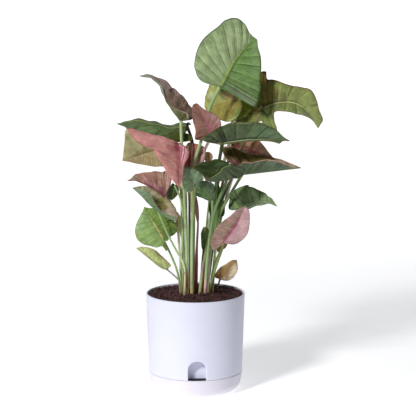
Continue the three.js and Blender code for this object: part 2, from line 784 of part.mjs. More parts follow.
// Young leaves, each in one piece with its stalk
const YOUNG_LEAVES = [
  {
    name: "young_leaf_e",
    base: [-4.8, 5.5, 283],
    tip: [-30, 0, 286.5],
    face: [0.1, -1, 0.3],
    left: [[0.1, 0.04], [0.3, 0.09], [0.6, 0.14], [0.85, 0.08]],
    right: [[-0.06, 0.1], [0, 0.2], [0.2, 0.29], [0.5, 0.28], [0.75, 0.24], [0.93, 0.12]],
    foot: [-5, -3],
    via: [[-6, -2, 180], [-7.5, 2, 240]],
    radius: 1.1,
    color: "#3f4a1e",
  },
  {
    name: "young_leaf_h",
    base: [-7.3, 10.8, 279.7],
    tip: [-8.4, 9.5, 244.6],
    face: [0, -1, 0.05],
    left: [[0.03, 0.3], [0.15, 0.53], [0.57, 0.5], [0.86, 0.2]],
    right: [[0.1, 0.1], [0.4, 0.2], [0.75, 0.12]],
    foot: [-9, 4],
    via: [[-10, 9, 180], [-10.5, 12.5, 245]],
    radius: 1.3,
    color: "#b86c6c",
  },
  {
    name: "young_leaf_k",
    base: [-23, -13, 234.7],
    tip: [-26.4, -14, 218],
    face: [0, -1, 0.2],
    left: [[-0.1, 0.14], [0.17, 0.33], [0.5, 0.33], [0.79, 0.19]],
    right: [[-0.14, 0.13], [0.16, 0.3], [0.48, 0.4], [0.83, 0.3]],
    foot: [-12.5, -15.5],
    via: [[-14.5, -14.5, 150], [-15, -14, 215]],
    radius: 1.2,
    color: "#2f4423",
  },
  {
    name: "young_leaf_t",
    base: [14.5, 20, 256.1],
    tip: [13.4, 18, 269.1],
    face: [-0.2, -1, 0.2],
    left: [[0.1, 0.19], [0.41, 0.34], [0.72, 0.33], [0.93, 0.18]],
    right: [[0.13, 0.25], [0.43, 0.43], [0.74, 0.42], [0.94, 0.23]],
    foot: [7, 9],
    via: [[12, 13, 180], [17, 19, 235]],
    radius: 1.2,
    color: "#9a7560",
  },
  {
    name: "young_leaf_w",
    base: [27, 11, 201],
    tip: [26, 13, 234],
    face: [-0.2, -1, 0.2],
    left: half(0.36, 0.25),
    right: half(0.2, 0.15),
    foot: [12, 10],
    via: [[20, 11, 160]],
    radius: 1.3,
    color: "#2c4422",
  },
  {
    name: "young_leaf_z",
    base: [30, -10, 171],
    tip: [25, -14, 159],
    face: [0.1, -1, 0.2],
    left: half(0.5, 0.2),
    right: half(0.5, 0.2),
    foot: [19, -6],
    via: [[22, -6, 140], [29, -7, 164]],
    radius: 1.1,
    color: "#5d5a2e",
  },
  {
    name: "young_leaf_bb",
    base: [9, 2, 159],
    tip: [9, 1, 186],
    face: [-0.1, -1, 0.2],
    left: [[0.04, 0.05], [0.14, 0.08], [0.44, 0.1], [0.74, 0.1]],
    right: [[0.05, 0.12], [0.24, 0.26], [0.66, 0.29], [0.96, 0.18]],
    fold: [10, 10],
    foot: [4, 0],
    via: [[7, 1, 135]],
    radius: 1.3,
    color: "#4f6b3c",
  },
  {
    name: "young_leaf_dd",
    base: [-18, 26, 178],
    tip: [-21, 30, 199],
    face: [-0.2, -1, 0.2],
    left: half(0.24, 0.15),
    right: half(0.3, 0.15),
    foot: [-8, 20],
    via: [[-11, 24, 145]],
    radius: 1.1,
    color: "#7d7a33",
  },
];

// A leaf that is still rolled up: a spindle on top of its stalk
const ROLLED_LEAF = {
  base: [3, -8, 192],
  tip: [0, -8, 226],
  foot: [0, -7],
  via: [[1, -8, 150]],
  radius: 1.2,
  widest: 2.6,
  color: "#7a5048",
};

function makeSpindle(leaf) {
  const along = vector(leaf.tip).sub(vector(leaf.base));
  const length = along.length();
  const spindle = lathe(
    [
      [0, -2],
      [leaf.radius * 0.9, -1],
      [leaf.widest * 0.8, length * 0.2],
      [leaf.widest, length * 0.45],
      [leaf.widest * 0.6, length * 0.8],
      [0, length],
    ],
    10,
  );
  const lean = new THREE.Quaternion().setFromUnitVectors(new THREE.Vector3(0, 0, 1), along.normalize());
  spindle.applyQuaternion(lean);
  spindle.translate(...leaf.base);
  return spindle;
}

const pot = new THREE.Group();

function addPiece(name, geometry, color, roughness = 0.5) {
  const material = new THREE.MeshStandardMaterial({ color, roughness, metalness: 0 });
  const mesh = new THREE.Mesh(geometry, material);
  mesh.name = name;
  pot.add(mesh);
}

const stalkHoles = [];

// Holes keep a gap all round the stalk and under its end.
function addStalkHole(points, radius) {
  const hole = solidOf(tube(points, radius + GAP));
  stalkHoles.push(hole.add(hole.translate([0, 0, -GAP])));
}

for (const leaf of LEAVES) {
  addPiece(`${leaf.name}_blade`, makeBlade(leaf, BLADE_ROWS), leaf.color);
  addPiece(`${leaf.name}_stalk`, tube(stalkPoints(leaf, true), leaf.radius), COLORS.stalk);
  addStalkHole(stalkPoints(leaf, true), leaf.radius);
}

for (const leaf of YOUNG_LEAVES) {
  const stalk = solidOf(tube(stalkPoints(leaf, false), leaf.radius));
  addPiece(leaf.name, geometryOf(solidOf(makeBlade(leaf, YOUNG_BLADE_ROWS)).add(stalk)), leaf.color);
  addStalkHole(stalkPoints(leaf, false), leaf.radius);
}

const rolledStalk = [
  new THREE.Vector3(ROLLED_LEAF.foot[0], ROLLED_LEAF.foot[1], SOIL_EDGE - STALK_DEPTH_IN_SOIL),
  ...ROLLED_LEAF.via.map(vector),
  vector(ROLLED_LEAF.base),
];
const rolledLeaf = solidOf(tube(rolledStalk, ROLLED_LEAF.radius)).add(solidOf(makeSpindle(ROLLED_LEAF)));
addPiece("rolled_leaf", geometryOf(rolledLeaf), ROLLED_LEAF.color);
addStalkHole(rolledStalk, ROLLED_LEAF.radius);

function makeSoil() {
  const inner = SEAM_RADIUS - WALL - GAP;
  let soil = solidOf(
    lathe([
      [0, FLOOR_HEIGHT + GAP],
      [inner - 3, FLOOR_HEIGHT + GAP],
      [inner, FLOOR_HEIGHT + 3 + GAP],
      [shellRadius(SOIL_EDGE) - WALL - GAP, SOIL_EDGE],
      [30, SOIL_EDGE + 2],
      [12, SOIL_CROWN],
      [0, SOIL_CROWN],
    ]),
  );
  const plug = solidOf(
    lathe(
      [
        [0, TRAY_FLOOR + GAP + FOOT_WALL + GAP],
        [FOOT_RADIUS - 1 - FOOT_WALL - GAP, TRAY_FLOOR + GAP + FOOT_WALL + GAP],
        [FOOT_RADIUS - FOOT_WALL - GAP, FLOOR_HEIGHT + 2],
        [0, FLOOR_HEIGHT + 2],
      ],
      28,
    ),
  );
  soil = soil.add(plug).subtract(solidOf(nicheGeometry(WALL + GAP, SEAM_HEIGHT - 4)));
  for (const hole of stalkHoles) {
    soil = soil.subtract(hole);
  }
  return geometryOf(soil);
}

addPiece("planter_shell", makeShell(), COLORS.shell, 0.35);
addPiece("water_tray", makeTray(), COLORS.tray, 0.35);
addPiece("soil", makeSoil(), COLORS.soil, 0.95);

export default pot;
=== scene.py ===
# A potted pink syngonium: arrow-shaped leaves on upright stalks, soil, and a round white pot with a water
# tray. The leaf table and the dimensions are in millimetres, as in the solid model; meshes are in metres.

import math
import random

import bmesh
import bpy
import numpy as np
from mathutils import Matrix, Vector


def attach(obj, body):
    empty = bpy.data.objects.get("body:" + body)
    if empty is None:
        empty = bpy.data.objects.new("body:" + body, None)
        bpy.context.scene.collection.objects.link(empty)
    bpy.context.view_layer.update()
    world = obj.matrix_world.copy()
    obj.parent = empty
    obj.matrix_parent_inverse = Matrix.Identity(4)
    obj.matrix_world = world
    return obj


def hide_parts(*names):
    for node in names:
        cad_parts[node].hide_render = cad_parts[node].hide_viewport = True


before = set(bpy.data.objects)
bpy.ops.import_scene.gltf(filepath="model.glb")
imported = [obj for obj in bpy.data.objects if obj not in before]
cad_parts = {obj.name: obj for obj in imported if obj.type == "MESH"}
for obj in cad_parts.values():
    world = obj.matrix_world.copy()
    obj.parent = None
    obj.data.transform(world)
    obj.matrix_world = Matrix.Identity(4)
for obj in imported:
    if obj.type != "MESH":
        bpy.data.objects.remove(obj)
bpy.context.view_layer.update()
random.seed(7)

MM = 0.001

# Dimensions of the pot
RIM_RADIUS = 55.9
POT_HEIGHT = 111
SEAM_HEIGHT = 22
SEAM_RADIUS = 53.1
WALL = 1.8
SKIRT_DEPTH = 5
GAP = 0.3
FLOOR_HEIGHT = 24
FLOOR_THICKNESS = 2
TRAY_BASE_RADIUS = 40
TRAY_CORNER = 12
TRAY_WALL = 2
TRAY_FLOOR = 2
NICHE_WIDTH = 20
NICHE_HEIGHT = 22
NICHE_DEPTH = 11
NICHE_TURN = math.radians(2.4)
FOOT_RADIUS = 15
FOOT_WALL = 1.6
LATHE_SIDES = 192
FOOT_SIDES = 64
SHARP_ANGLE = math.radians(35)

# Dimensions of the soil
SOIL_EDGE = 109.2
SOIL_CROWN = 112.2
CRUMB_COUNT = 1500
CRUMB_REACH = 51

# Dimensions of the leaves
BLADE_THICKNESS = 0.7
STALK_DEPTH_IN_SOIL = 12
STALK_SIDES = 14

# Stalks in brown: on young_leaf_bb a brown sheath, and on young_leaf_e painted shade.
BROWN_SHADED_STALKS = ("young_leaf_e", "young_leaf_bb")

# Colours along a stalk without colours of its own, from its foot at 0 to the blade at 1
YOUNG_STALK = ((0.06, "#8c5c50"), (0.3, "#9aa878"), (0.6, "#9eb47c"), (0.95, "#94a870"))
# The brown stalk colours are partly a brown sheath and partly painted shade, deepest toward the top.
BROWN_SHADED_STALK = ((0.06, "#7a4c40"), (0.3, "#845848"), (0.6, "#6c4434"), (0.95, "#5a3428"))
ROLLED_SPINDLE = ((0.1, "#7c5448"), (0.5, "#8a5a54"), (0.9, "#75503f"))
ROLLED_SHEATH = ((0.1, "#74483a"), (0.35, "#96565e"), (0.5, "#8c545c"), (0.8, "#8a5a50"))

ROLLED_LEAF = dict(base=(3, -8, 192), tip=(0, -8, 226), foot=(0, -7), via=((1, -8, 150),), widest=2.6)

# Fields of the leaf table:
# base, tip, face: ends of the midrib, and where the upper side looks; bow, drift and sway (share, across, up)
#   bend the midrib, and fold is how many degrees the left and the right half are lifted
# foot, via, radius: where the stalk starts, the points it passes, and how thick it is
# left, right: outlines of the halves with the tip up, as points (along, across) in hundredths of the midrib,
#   or half with its two numbers for a usual one
# slot: the material slot; gloss: how much the upper side shines
# colors: left half and its veins, right half and its veins, underside, rim, midrib; under_too is a second one
#   for the underside
# veins, quilt: number of side veins, and how high the blade bulges between them
# contrast, fine, fine_strength: strength of the side veins, number and strength of the thin ones
# crease, groove: strength on the left and the right half of the painted shade in the folds and of the painted
#   shadow in the bands beside the midrib, in the colour dark
# patches, under_patches: (u, v, half width, half height, colour, strength) in hundredths, with u from 0 at
#   the left edge over 50 at the midrib to 100, and v from 0 at the base to 100 at the tip
# bumps: (u, v, half width, half height) as shares, and a height; rim_width, midrib_width: as shares
# stalk: colours at hundredths of the stalk, from its foot
# Painted light and shade in the table: some colours were set for how the leaves look under this scene's lamp and   the shade of the other leaves. The deepest patches #1b200a, #1c200a and #363f1c on leaf_p, #353b14 on leaf_g, 948658 on leaf_i and #6e3c2c on young_leaf_h are painted shadows of other leaves; #333f1c on leaf_a is a   painted shadow line where its edge turns under; the right half colour #787f26 of leaf_c and the olive-brown   left half colour #655824 of leaf_q are painted shade. The pale patches #f0c468 and #958036 on leaf_b and b4d496 on leaf_x, and the colours of leaf_u and leaf_aa, are painted light on parts that other leaves shade;   the pink-brown patch #d8ac7c on leaf_d is its own colour brightened with painted light. The right vein colour 84a85c of leaf_a is partly a painted sheen between its folds, and the pale streaks #ecccd2 and #e0b8be on   leaf_h are stripes with painted highlights.
LEAF_TABLE = """
leaf_a: base 27 0 343.7; tip 64.8 12 398.2; face -0.2 -1 0.15; fold 6 8; sway 0.45 -2.4 0.5; foot -3 1;
    radius 2; via -3 4 180, -3 4 225, -1 5 257, 7 7 285, 16 7 319;
  left -3.4 8.6, -8 21, -9 34, 1 49, 25 59, 42 63, 55 62, 75 57, 97 54, 110 41, 110 25, 102 9;
  right -1 10, 0 25, 0.7 49, 2 72, 12 69, 32 61, 63 47, 79 33, 91 16, 99 8;
  slot leaf_pale_green; veins 12; quilt 1.1; contrast 0.9; fine 44; fine_strength 0.45; gloss 0.4;
    crease 0.1 0.75; groove 0.1 0.75; dark #3c4e20;
  colors #8ca26e #b2c092 #587e36 #84a85c #77876c #4f6036 #94a850;
  patches 5 70 8 30 #78905d 80, 30 96 30 9 #768b5e 70, 72 48 25 8 #5b7338 70, 93 47 8 8 #4b6533 80,
    93 80 12 20 #7c9662 70, 85 38 34 4.5 #5f6956 100, 78 43.5 28 1.4 #333f1c 90, 20 10 30 12 #5f7048 60;
  stalk 10 #d8c484, 22 #86ab56, 45 #b2c38e, 65 #a9c086, 90 #a3bc80

leaf_b: base 75.8 12 318.5; tip 135.8 -12 298.1; face 0.1 -0.9 0.45; bow 5; drift -17; fold 8 0; foot 13 6;
    radius 1.8; via 15 5 144, 22 4 190, 31 8 218, 41 14 241, 53 22 273, 58 20 285;
  left -1 11, 3 29, 7 49, 11 62, 14 61, 14 46, 18 43, 26 36, 35 30, 46 30, 57 32, 68 25, 81 16, 93 13, 97 6;
  right -6 5, -7 22, -2 44, 9 50, 9 36, 12 16, 31 18, 57 18, 75 10, 87 3, 95 1;
  slot leaf_olive; veins 10; quilt 1.1; rim_width 0.05; crease 0.5 0.4; groove 0.5 0.1; dark #453c14;
  colors #7f8a4e #98a160 #758148 #8d9a5c #7b8355 #8a4c38 #c8cc88;
  patches 25 34 25 14 #958036 90, 7 29 8 6 #f0c468 95, 45 19 12 7 #95663b 80, 13 48 6 3 #98a852 90,
    38 53 16 6 #605f34 85, 57 33 8 7 #c9d77f 90, 92 68 8 12 #6a7e4e 70, 88 82 15 10 #7d8b6b 70;
  stalk 10 #b09a60, 40 #769553, 60 #6f6245, 85 #837b4f

leaf_c: base 73.3 39 317.6; tip 39.2 37 297.9; face 0 -1 0.3; foot 17 11; radius 1.6; via 26 14 180,
    43 34 240, 62 44 290;
  left half 36 20;
  right half 50 30;
  slot leaf_pale_green; veins 8; quilt 0.9; crease 0.35 0.4; dark #3c3c0c;
  colors #7b8240 #929a56 #787f26 #8f963c #7c8a48 #7a5238 #8e4434;
  patches 50 72 6 10 #cfee84 90, 57 60 5 5 #adc759 80, 43 50 10 8 #706a30 80;
  stalk 10 #c8b080, 25 #d4f0a2, 45 #92a478, 60 #bfcab7, 90 #beb397

leaf_d: base 51.3 20 330.2; tip 9.9 50 317.1; face 0 -1 0.2; foot 6 17; radius 1.9; via 9 20 150, 16 23 190,
    26.5 25 237, 40.1 26 284.6, 44.2 27 303.2, 48.3 26 320;
  left 0 14, 9 31, 24 43, 44 44, 67 34, 83 22, 93 11;
  right 5 15, 22 34, 52 48, 76 44, 85 33, 94 17;
  slot leaf_olive; veins 8; quilt 0.8; crease 0.4 0.25;
  colors #8c8440 #a49a56 #9ca25c #b4b674 #8c9a60 #8a7a48 #b09a60;
  patches 62 50 10 9 #d8ac7c 95, 49 42 7 6 #705e22 90, 50 92 50 10 #a6aa54 80, 85 74 8 7 #c2caac 70,
    32 50 7 6 #b6a95c 80, 10 30 13 10 #65834a 90, 2 40 5 14 #94b674 90, 26 20 12 7 #525830 80,
    70 28 20 10 #6a5a20 80;
  stalk 10 #c8b080, 25 #dcf4c8, 45 #94a57e, 62 #716551, 85 #bccc97

leaf_f: base -15.8 -2 306.1; tip -61.7 12 355.9; face 0.6 -0.55 0.6; fold 80 20; sway 0.15 0.3 0.4,
    0.35 1.3 1.7, 0.52 3.2 4.3, 0.66 5.3 7.1, 0.82 4.7 6.2; foot -11 -9; radius 1.9; via -14 -8 150,
    -15 -6 210, -15 -4 265;
  left -3.6 7.4, -8 17, 1 20, 17 9, 30 3, 47 2, 57 4, 71 2, 86 2;
  right -5 7, -9 18, 7 32, 16 31, 32 31, 49 25, 64 16, 74 10, 85 5, 91 5;
  slot leaf_brown_pink; veins 9; quilt 0.9; rim_width 0.06; crease 0.3 0.45; dark #48341f;
  colors #7a6552 #937c6c #7c6554 #947e72 #626e48 #b89c9c #8f8464;
  patches 71 43 9 7 #56412e 90, 80 70 25 7 #9a8783 80, 96 62 7 14 #c09c9a 80, 75 92 50 11 #849382 85;
  under_patches 25 28 35 8 #4a4f27 90, 20 83 45 16 #94a191 85, 3 20 8 10 #90a667 80;
  stalk 10 #e4d098, 30 #f2ffd8, 45 #e6f6c6, 62 #b7c48b, 90 #abc08e

leaf_g: base -9.4 11 299.5; tip -86.6 -8 303.3; face 0 -0.7 0.7; fold -45 -42; sway 0.22 -2.4 -2.1,
    0.45 0.5 0.4, 0.7 3.1 2.7, 0.86 1.5 1.3; foot -6 11; radius 1.6; via -7 14 170, -6 15 240, -3 14 278;
  left -2 5, 6 12, 23 14, 45 17, 64 16, 83 11, 93 5;
  right half 30 10;
  slot leaf_dark_green; veins 10; quilt 1.3; crease 0.6 0.5; groove 0.5 0.2; dark #22290c;
  colors #5a6e42 #748a58 #586c40 #72865a #5c6c44 #6a5438 #94a062;
  patches 28 35 30 10 #464a1e 90, 20 63 20 6 #708658 70, 25 13 50 15 #353b14 95, 25 86 35 12 #5c6c56 80;
  stalk 10 #c8b48c, 30 #b8d8a0, 60 #b4c488, 80 #7a6c48, 92 #4e4426

leaf_h: base -16.4 -30 282.7; tip -17.2 -50 237.3; face 0 -1 0.35; fold 40 10; foot -9 -14; radius 1.7;
    via -10 -20 170, -12 -26 225, -13 -26 262;
  left 6 13, 21 25, 39 23, 51 14, 69 11, 87 8;
  right -4.6 10.8, -13 32, -17 54, -23.7 95.8, -27 116, -8 105, 4 91, 12 73, 13 62, 26 54, 43 43, 72 25,
    86 14;
  slot leaf_pink; veins 8; quilt 0.9; contrast 0.8; midrib_width 0.04; crease 0.3 0.22; groove 0.2 0.5;
    dark #8c3c48; bumps 0.62 0.36 0.1 0.1 2.2;
  colors #b27878 #c68c92 #c68a84 #cf9592 #a0705e #b85c68 #b23f64;
  patches 36 40 3.5 25 #a83a56 90, 28 37 4 24 #ecccd2 95, 43 42 3 20 #d9a2ac 80, 20 40 3 22 #a44c5a 80,
    13 40 3 20 #e0b8be 80, 60 46 6 5 #a05a56 85, 53 40 2.5 10 #98404a 90, 66 76 22 13 #b07a6e 80,
    54 88 8 12 #946656 80, 30 75 25 14 #8a6a5a 80;
  stalk 8 #f0dcae, 17 #c9847f, 27 #b3c794, 50 #a4b884, 90 #9cb47e

leaf_i: base -27 26 273; tip -82 8 260; face 0 -1 0.3; fold 10 10; foot -12 11; radius 1.6; via -14 16 170,
    -17 24 225, -22 27 258;
  left half 34 15;
  right -5 20, 7 32, 32 50, 74 58, 88 30;
  slot leaf_olive; veins 8; quilt 0.8; crease 0.25 0.3; groove 0.1 0.5; dark #75602e;
  colors #ad9a6e #c0b088 #b2ac7c #c6c296 #8f9568 #b8a078 #cabf92;
  patches 57 72 6 22 #948658 80, 10 76 10 12 #a28e66 60;
  stalk 10 #e8d4a0, 30 #f4fccc, 50 #e4f0cc, 75 #685d3c

leaf_j: base -31.6 -7 222.1; tip -74.8 -20 241.7; face -0.2 -0.8 0.6; fold 20 10; sway 0.25 2 1, 0.5 3.5 1.8,
    0.8 3 1.5; foot -15 -4; radius 1.5; via -18 -5 160, -22 -9 200;
  left 4 8, 24 10, 45 9, 64 3, 81 1;
  right -7 10, 9 34, 21 49, 42 40, 55 29, 70 23, 82 15, 90 6;
  slot leaf_brown_pink; veins 8; quilt 1; crease 0.4 0.5; dark #5e2c26;
  colors #a7766c #b98880 #b58878 #c79c90 #8a7658 #a5604e #b43c66;
  patches 57 60 7 15 #c28698 85, 56 42 8 7 #9c5c66 90, 54 30 6 5 #554432 90, 92 40 10 9 #dab9a5 85,
    75 32 14 7 #e0aaa4 80, 82 90 25 9 #9b9576 80, 76 57 12 5 #a07064 85, 76 72 12 7 #c89a94 70;
  stalk 6 #aa946b, 25 #b9ca99, 60 #d2ceb2, 85 #514f1d

leaf_l: base -39.7 -34 208.1; tip -67.7 -40 236; face 0.6 -0.55 0.6; fold 80 20; sway 0.35 -0.4 -0.5,
    0.7 0.2 0.2; foot -13 -20; radius 1.2; via -12.5 -22 145.4, -20.8 -25 162.9, -28.9 -28.5 179.3,
    -35.9 -32 196.6;
  left -24 4, -38 11, -48 18, -45 33, -31 24, -16 14, 0 10, 16 14, 34 21, 54 31, 69 31, 83 18;
  right -21 4, -42 12, -56 20, -54 31, -39 41, -21 47, -7 52, 14 45, 44 42, 68 33, 82 22, 92 11;
  slot leaf_olive; veins 8; quilt 0.9; crease 0.3 0.45; under_too #5e785e; dark #4a4020;
  colors #8a9c6a #a3b384 #b8ab80 #cbc09a #647e56 #b98474 #9aa684;
  patches 57 20 9 13 #6a5630 90, 84 35 16 10 #d6bab0 90, 71 49 13 10 #847834 95, 80 60 12 5 #8a953a 90,
    98 57 4 6 #737040 80, 90 72 12 8 #d8d0ae 90, 88 88 20 9 #bdc29c 80;
  under_patches 40 90 40 10 #80947e 80;
  stalk 6 #795d50, 25 #d5dd9f, 45 #d6e8b5, 65 #a0b48b, 90 #96ae75

leaf_m: base -35.9 -18 175.2; tip -56.7 -22 211.9; face -0.1 -1 0.2; fold 5 5; foot -15 -9; radius 1.3;
    via -20 -12 136, -28 -11 157;
  left -30 2, -32 9, -16 12, -10 27, 2 39, 18 53, 39 58, 57 52, 73 38, 86 19, 94 6;
  right -10 6, -5 18, -3 34, 3 45, 18 51, 35 47, 58 36, 82 23, 93 8;
  slot leaf_pale_green; veins 8; quilt 1.1; crease 0.4 0.55; dark #37481c;
  colors #8cab62 #a8c080 #6a8536 #8aa252 #90a468 #8d8248 #c6c088;
  patches 80 36 20 13 #4f6c2e 90, 80 80 20 10 #7a9851 80, 12 76 12 12 #96b482 80, 25 13 25 13 #58713a 85,
    52 45 3.5 28 #b8945c 75, 60 55 5 20 #587030 70;
  stalk 6 #8a6a50, 20 #96a070, 50 #98b47a, 90 #8fae78

leaf_n: base -32.4 8 136.2; tip -66.4 -2 162.2; face 0.2 -0.8 0.6; fold 25 10; foot -11 16; radius 0.9;
    via -17 14 119;
  left 9 9, 28 12, 51 9, 71 6, 88 2;
  right -3.2 8.6, -5 14, 10 18, 33 22, 54 24, 74 19, 91 10;
  slot leaf_olive; veins 6; quilt 0.7; crease 0.2 0.25; dark #7d7c40;
  colors #d8e0a0 #e6ecb6 #d0da90 #dee6aa #a0a86c #b09868 #e8e8b4;
  patches 60 5 30 12 #d6b486 70, 95 40 8 40 #dcb890 70;
  stalk 10 #a89070, 30 #a8b088, 80 #b3b1a2

leaf_o: base 18.7 0 290.9; tip 0.9 -4 325.4; face -0.1 -1 0.1; fold 5 5; foot -3 8; radius 1.7; via -2 10 180,
    -1 12 230, 6 15 262, 12 13.5 275;
  left -2 21, 2 41, 9 50, 30 38, 59 31, 83 22, 100 10;
  right 2 17, 8 33, 28 40, 48 34, 67 18, 85 8, 96 4;
  slot leaf_brown_pink; veins 9; quilt 0.9; fine_strength 0.2; crease 0.3 0.3; dark #5c3228;
  colors #967260 #a8626c #a27a6e #b07078 #7e6c50 #8a5c48 #b84e72;
  patches 10 45 12 12 #8c6650 80, 30 90 45 11 #967456 80, 66 42 10 10 #b0707c 70, 90 45 10 14 #c29c96 80,
    33 38 10 8 #8a6c54 70, 48 50 6 16 #c48890 80, 76 68 15 8 #9c7262 70;
  stalk 10 #c8a080, 30 #c0d8a0, 50 #cceaae, 85 #e0c8bc

leaf_p: base 29.5 -28 283; tip 102.2 -48 288.5; face 0 -0.5 0.87; drift -5; fold 20 20; foot 8 -5; radius 2;
    via 11 -7 144, 16 -6 172, 21 -6 205, 24 -11 245;
  left -14 4, -26 12, -25 17, -14 24, 1 30, 15 34, 33 33, 51 30, 66 22, 78 15, 87 7, 93 3;
  right 6 10, 24 12, 43 11, 67 12, 84 16, 94 19, 94 8;
  slot leaf_dark_green; veins 10; quilt 1.2; gloss 0.3; crease 0.65 0.4; groove 0.8 0.2; dark #141a06;
  colors #485638 #627450 #5a6440 #717e58 #5c5236 #7a7048 #b4c488;
  patches 33 32 20 11 #1b200a 95, 10 32 10 9 #363f1c 80, 25 67 22 7 #5a734c 80, 17 83 30 10 #667e5c 85,
    2 52 4 8 #868c60 80, 46 70 5 16 #3c4630 80, 35 12 30 14 #1c200a 90, 50 100 50 3.5 #7d5a34 90;
  stalk 6 #b8a064, 20 #cbcf7c, 42 #c1e79e, 60 #7d9e5e, 85 #41461d

leaf_q: base 52.1 -8 247; tip 116.7 -22 255.9; face 0 -0.1 1; fold 48 85; foot 13 -3; radius 1.7;
    via 17 -3 160, 26 -4 198, 38 -6 222;
  left -14.8 16.2, -23 26, -31 39, -35 55, -21 57, -7 49, 7 40, 24 34, 48 28, 66 20, 83 10;
  right 0 14, 5 20, 20 18, 37 20, 51 19, 62 16, 73 9, 85 3;
  slot leaf_dark_green; veins 9; quilt 1; rim_width 0.05; crease 0.6 0.3; under_too #5c6c5a; dark #221c08;
  colors #655824 #786a36 #5a6753 #6c7a64 #546250 #c8a096 #71805c;
  patches 20 30 12 5 #6b4c4a 90, 30 33 8 6 #8a5460 90, 8 36 11 3.5 #332e12 90, 12 62 12 6 #7e7238 80,
    16 88 30 10 #b09688 90, 28 47 7 5 #7a5a46 70;
  under_patches 66 42 14 10 #434f36 85, 97 50 5 30 #74695a 80, 95 95 20 8 #948880 85;
  stalk 6 #9b934c, 22 #f4f8d0, 42 #c1be92, 60 #779a51, 85 #829564

leaf_r: base 38.1 -42 261; tip 12.1 -62 246; face 0 -0.95 0.5; sway 0.25 1.2 0.8, 0.5 -1.1 1.3; foot 10 -12;
    radius 1.7; via 14 -22 160, 22 -32 210, 34 -38 242;
  left -13 13, -29 33, -12 47, 5 49, 47 36, 60 26, 81 16;
  right -1 10, 16.6 24, 30 42, 83 58, 103 59, 99 39, 97 17;
  slot leaf_dark_green; veins 8; quilt 1; crease 0.45 0.5; groove 0.2 0.6; dark #121804;
  colors #4c5a42 #647254 #34431e #4a5c30 #556545 #6c5c48 #9aac64;
  patches 60 42 14 10 #556749 85, 56 60 5 12 #586d44 85, 86 60 12 7 #202a08 90, 72 80 20 6 #27340e 85,
    75 93 25 4 #7a684e 80, 60 100 20 5 #c8909a 90;
  stalk 4 #a07058, 10 #d09a90, 15 #f4ccca, 24 #a6bf8c, 45 #899f6b, 65 #6c8957

leaf_s: base 42 35 275; tip 88 28 262; face 0 -1 0.2; fold 10 0; foot 11 14; radius 1.7; via 18.5 15.5 180,
    33 32 240;
  left half 42 20;
  right half 30 10;
  slot leaf_brown_pink; veins 8; quilt 0.8; crease 0.3 0.35; dark #4c3018;
  colors #a0765a #b48a72 #aa7460 #bc8876 #8a6450 #b87868 #b84c6a;
  patches 52 57 13 7 #50482a 95, 47 47 10 5 #80543e 80, 43 73 12 8 #b9766a 85, 24 84 25 8 #c49c84 85;
  stalk 10 #b08c60, 50 #849f58, 85 #92674e

leaf_u: base -0.1 -30 235.3; tip -18.5 -38 256.7; face 0 -1 0.3; fold 5 5; foot -4 -15; radius 1.9;
    via -4 -18 150, -3 -24 200;
  left -2 19, 5 34, 28 29, 57 19, 81 10;
  right -3 8, 0.3 30.4, 1 45, 27 49, 55 43, 77 31, 93 15;
  slot leaf_dark_green; veins 7; quilt 0.7; crease 0.3 0.35;
  colors #a4c28e #b8d2a4 #7f9672 #94aa86 #6c8060 #8a9a70 #b2c69a;
  patches 75 37 22 8 #52624a 90, 20 15 25 15 #80966a 70;
  stalk 6 #c79c6e, 22 #acbe86, 45 #afca92, 65 #96b578, 90 #89935d

leaf_v: base 19.2 -16 218.3; tip 4.3 -24 240.6; face 0 -1 0.15; foot 4 -11; radius 1.9; via 7 -13 133,
    12 -14 161, 19 -15 195;
  left 11 15, 35 28, 62 42, 79 31, 92 13;
  right 0 10, 11 24, 34 34, 55 41, 78 29, 93 15;
  slot leaf_dark_green; veins 7; quilt 0.7; crease 0.35 0.4;
  colors #6c8a58 #84a06e #5c7050 #728664 #586a48 #6a7450 #9aac74;
  patches 84 62 12 10 #415240 90, 12 68 12 14 #9fc38a 85, 94 50 8 30 #4c5c46 60;
  stalk 6 #898552, 24 #c2c48e, 34 #a08480, 45 #8a9668, 60 #4e5e35, 85 #7f9666

leaf_x: base 50.1 -4 207; tip 91.4 -18 212.4; face 0 -0.8 0.6; fold 10 0; sway 0.25 -4 2.3, 0.5 -6.2 3.6,
    0.75 -4.7 2.7; foot 16 4; radius 1.5; via 21 4 140, 36 5 172;
  left -16 0, -30 2, -29 29, -26 47, -7 55, 23 53, 42 43, 51 29, 65 22, 81 11;
  right 8 8, 17 15, 34 13, 58 13, 72 7, 87 2;
  slot leaf_dark_green; veins 8; quilt 1.1; crease 0.65 0.4; dark #2a3a18;
  colors #86a066 #a0b884 #8a9c76 #a0b28e #667c50 #5c7044 #bacca0;
  patches 6 40 8 8 #485c38 90, 30 40 15 10 #789260 80, 30 63 25 8 #b4d496 80, 40 47 5 4 #5c744e 80,
    30 91 40 8 #6c805c 85, 88 68 10 12 #728267 80, 12 20 15 14 #4b633a 80;
  stalk 10 #a8985c, 25 #b2c968, 50 #d8ee9c, 80 #a8b878

leaf_y: base 31.9 -30 172.8; tip 55.2 -42 215.4; face 0 -1 0.2; fold 5 5; sway 0.45 2.2 -0.7; foot 14 -12;
    radius 1.5; via 20 -20 134;
  left -17 6, -27 12, -21 22, -9 29, 5 31, 20 34, 39 32, 66 22, 89 11;
  right 6 13, 16 23, 32 28, 45 30, 63 26, 83 19, 96 11;
  slot leaf_pink; veins 8; quilt 0.8; crease 0.3 0.25; groove 0.6 0.1; dark #7a4450;
  colors #997a6e #b08e88 #b69294 #c4a4a6 #8f8066 #9c8270 #cc7096;
  patches 41 58 6 20 #8c5a5a 85, 10 40 8 5 #806c4f 80, 52 58 3 25 #b97e8c 80, 10 25 10 6 #a68d79 70,
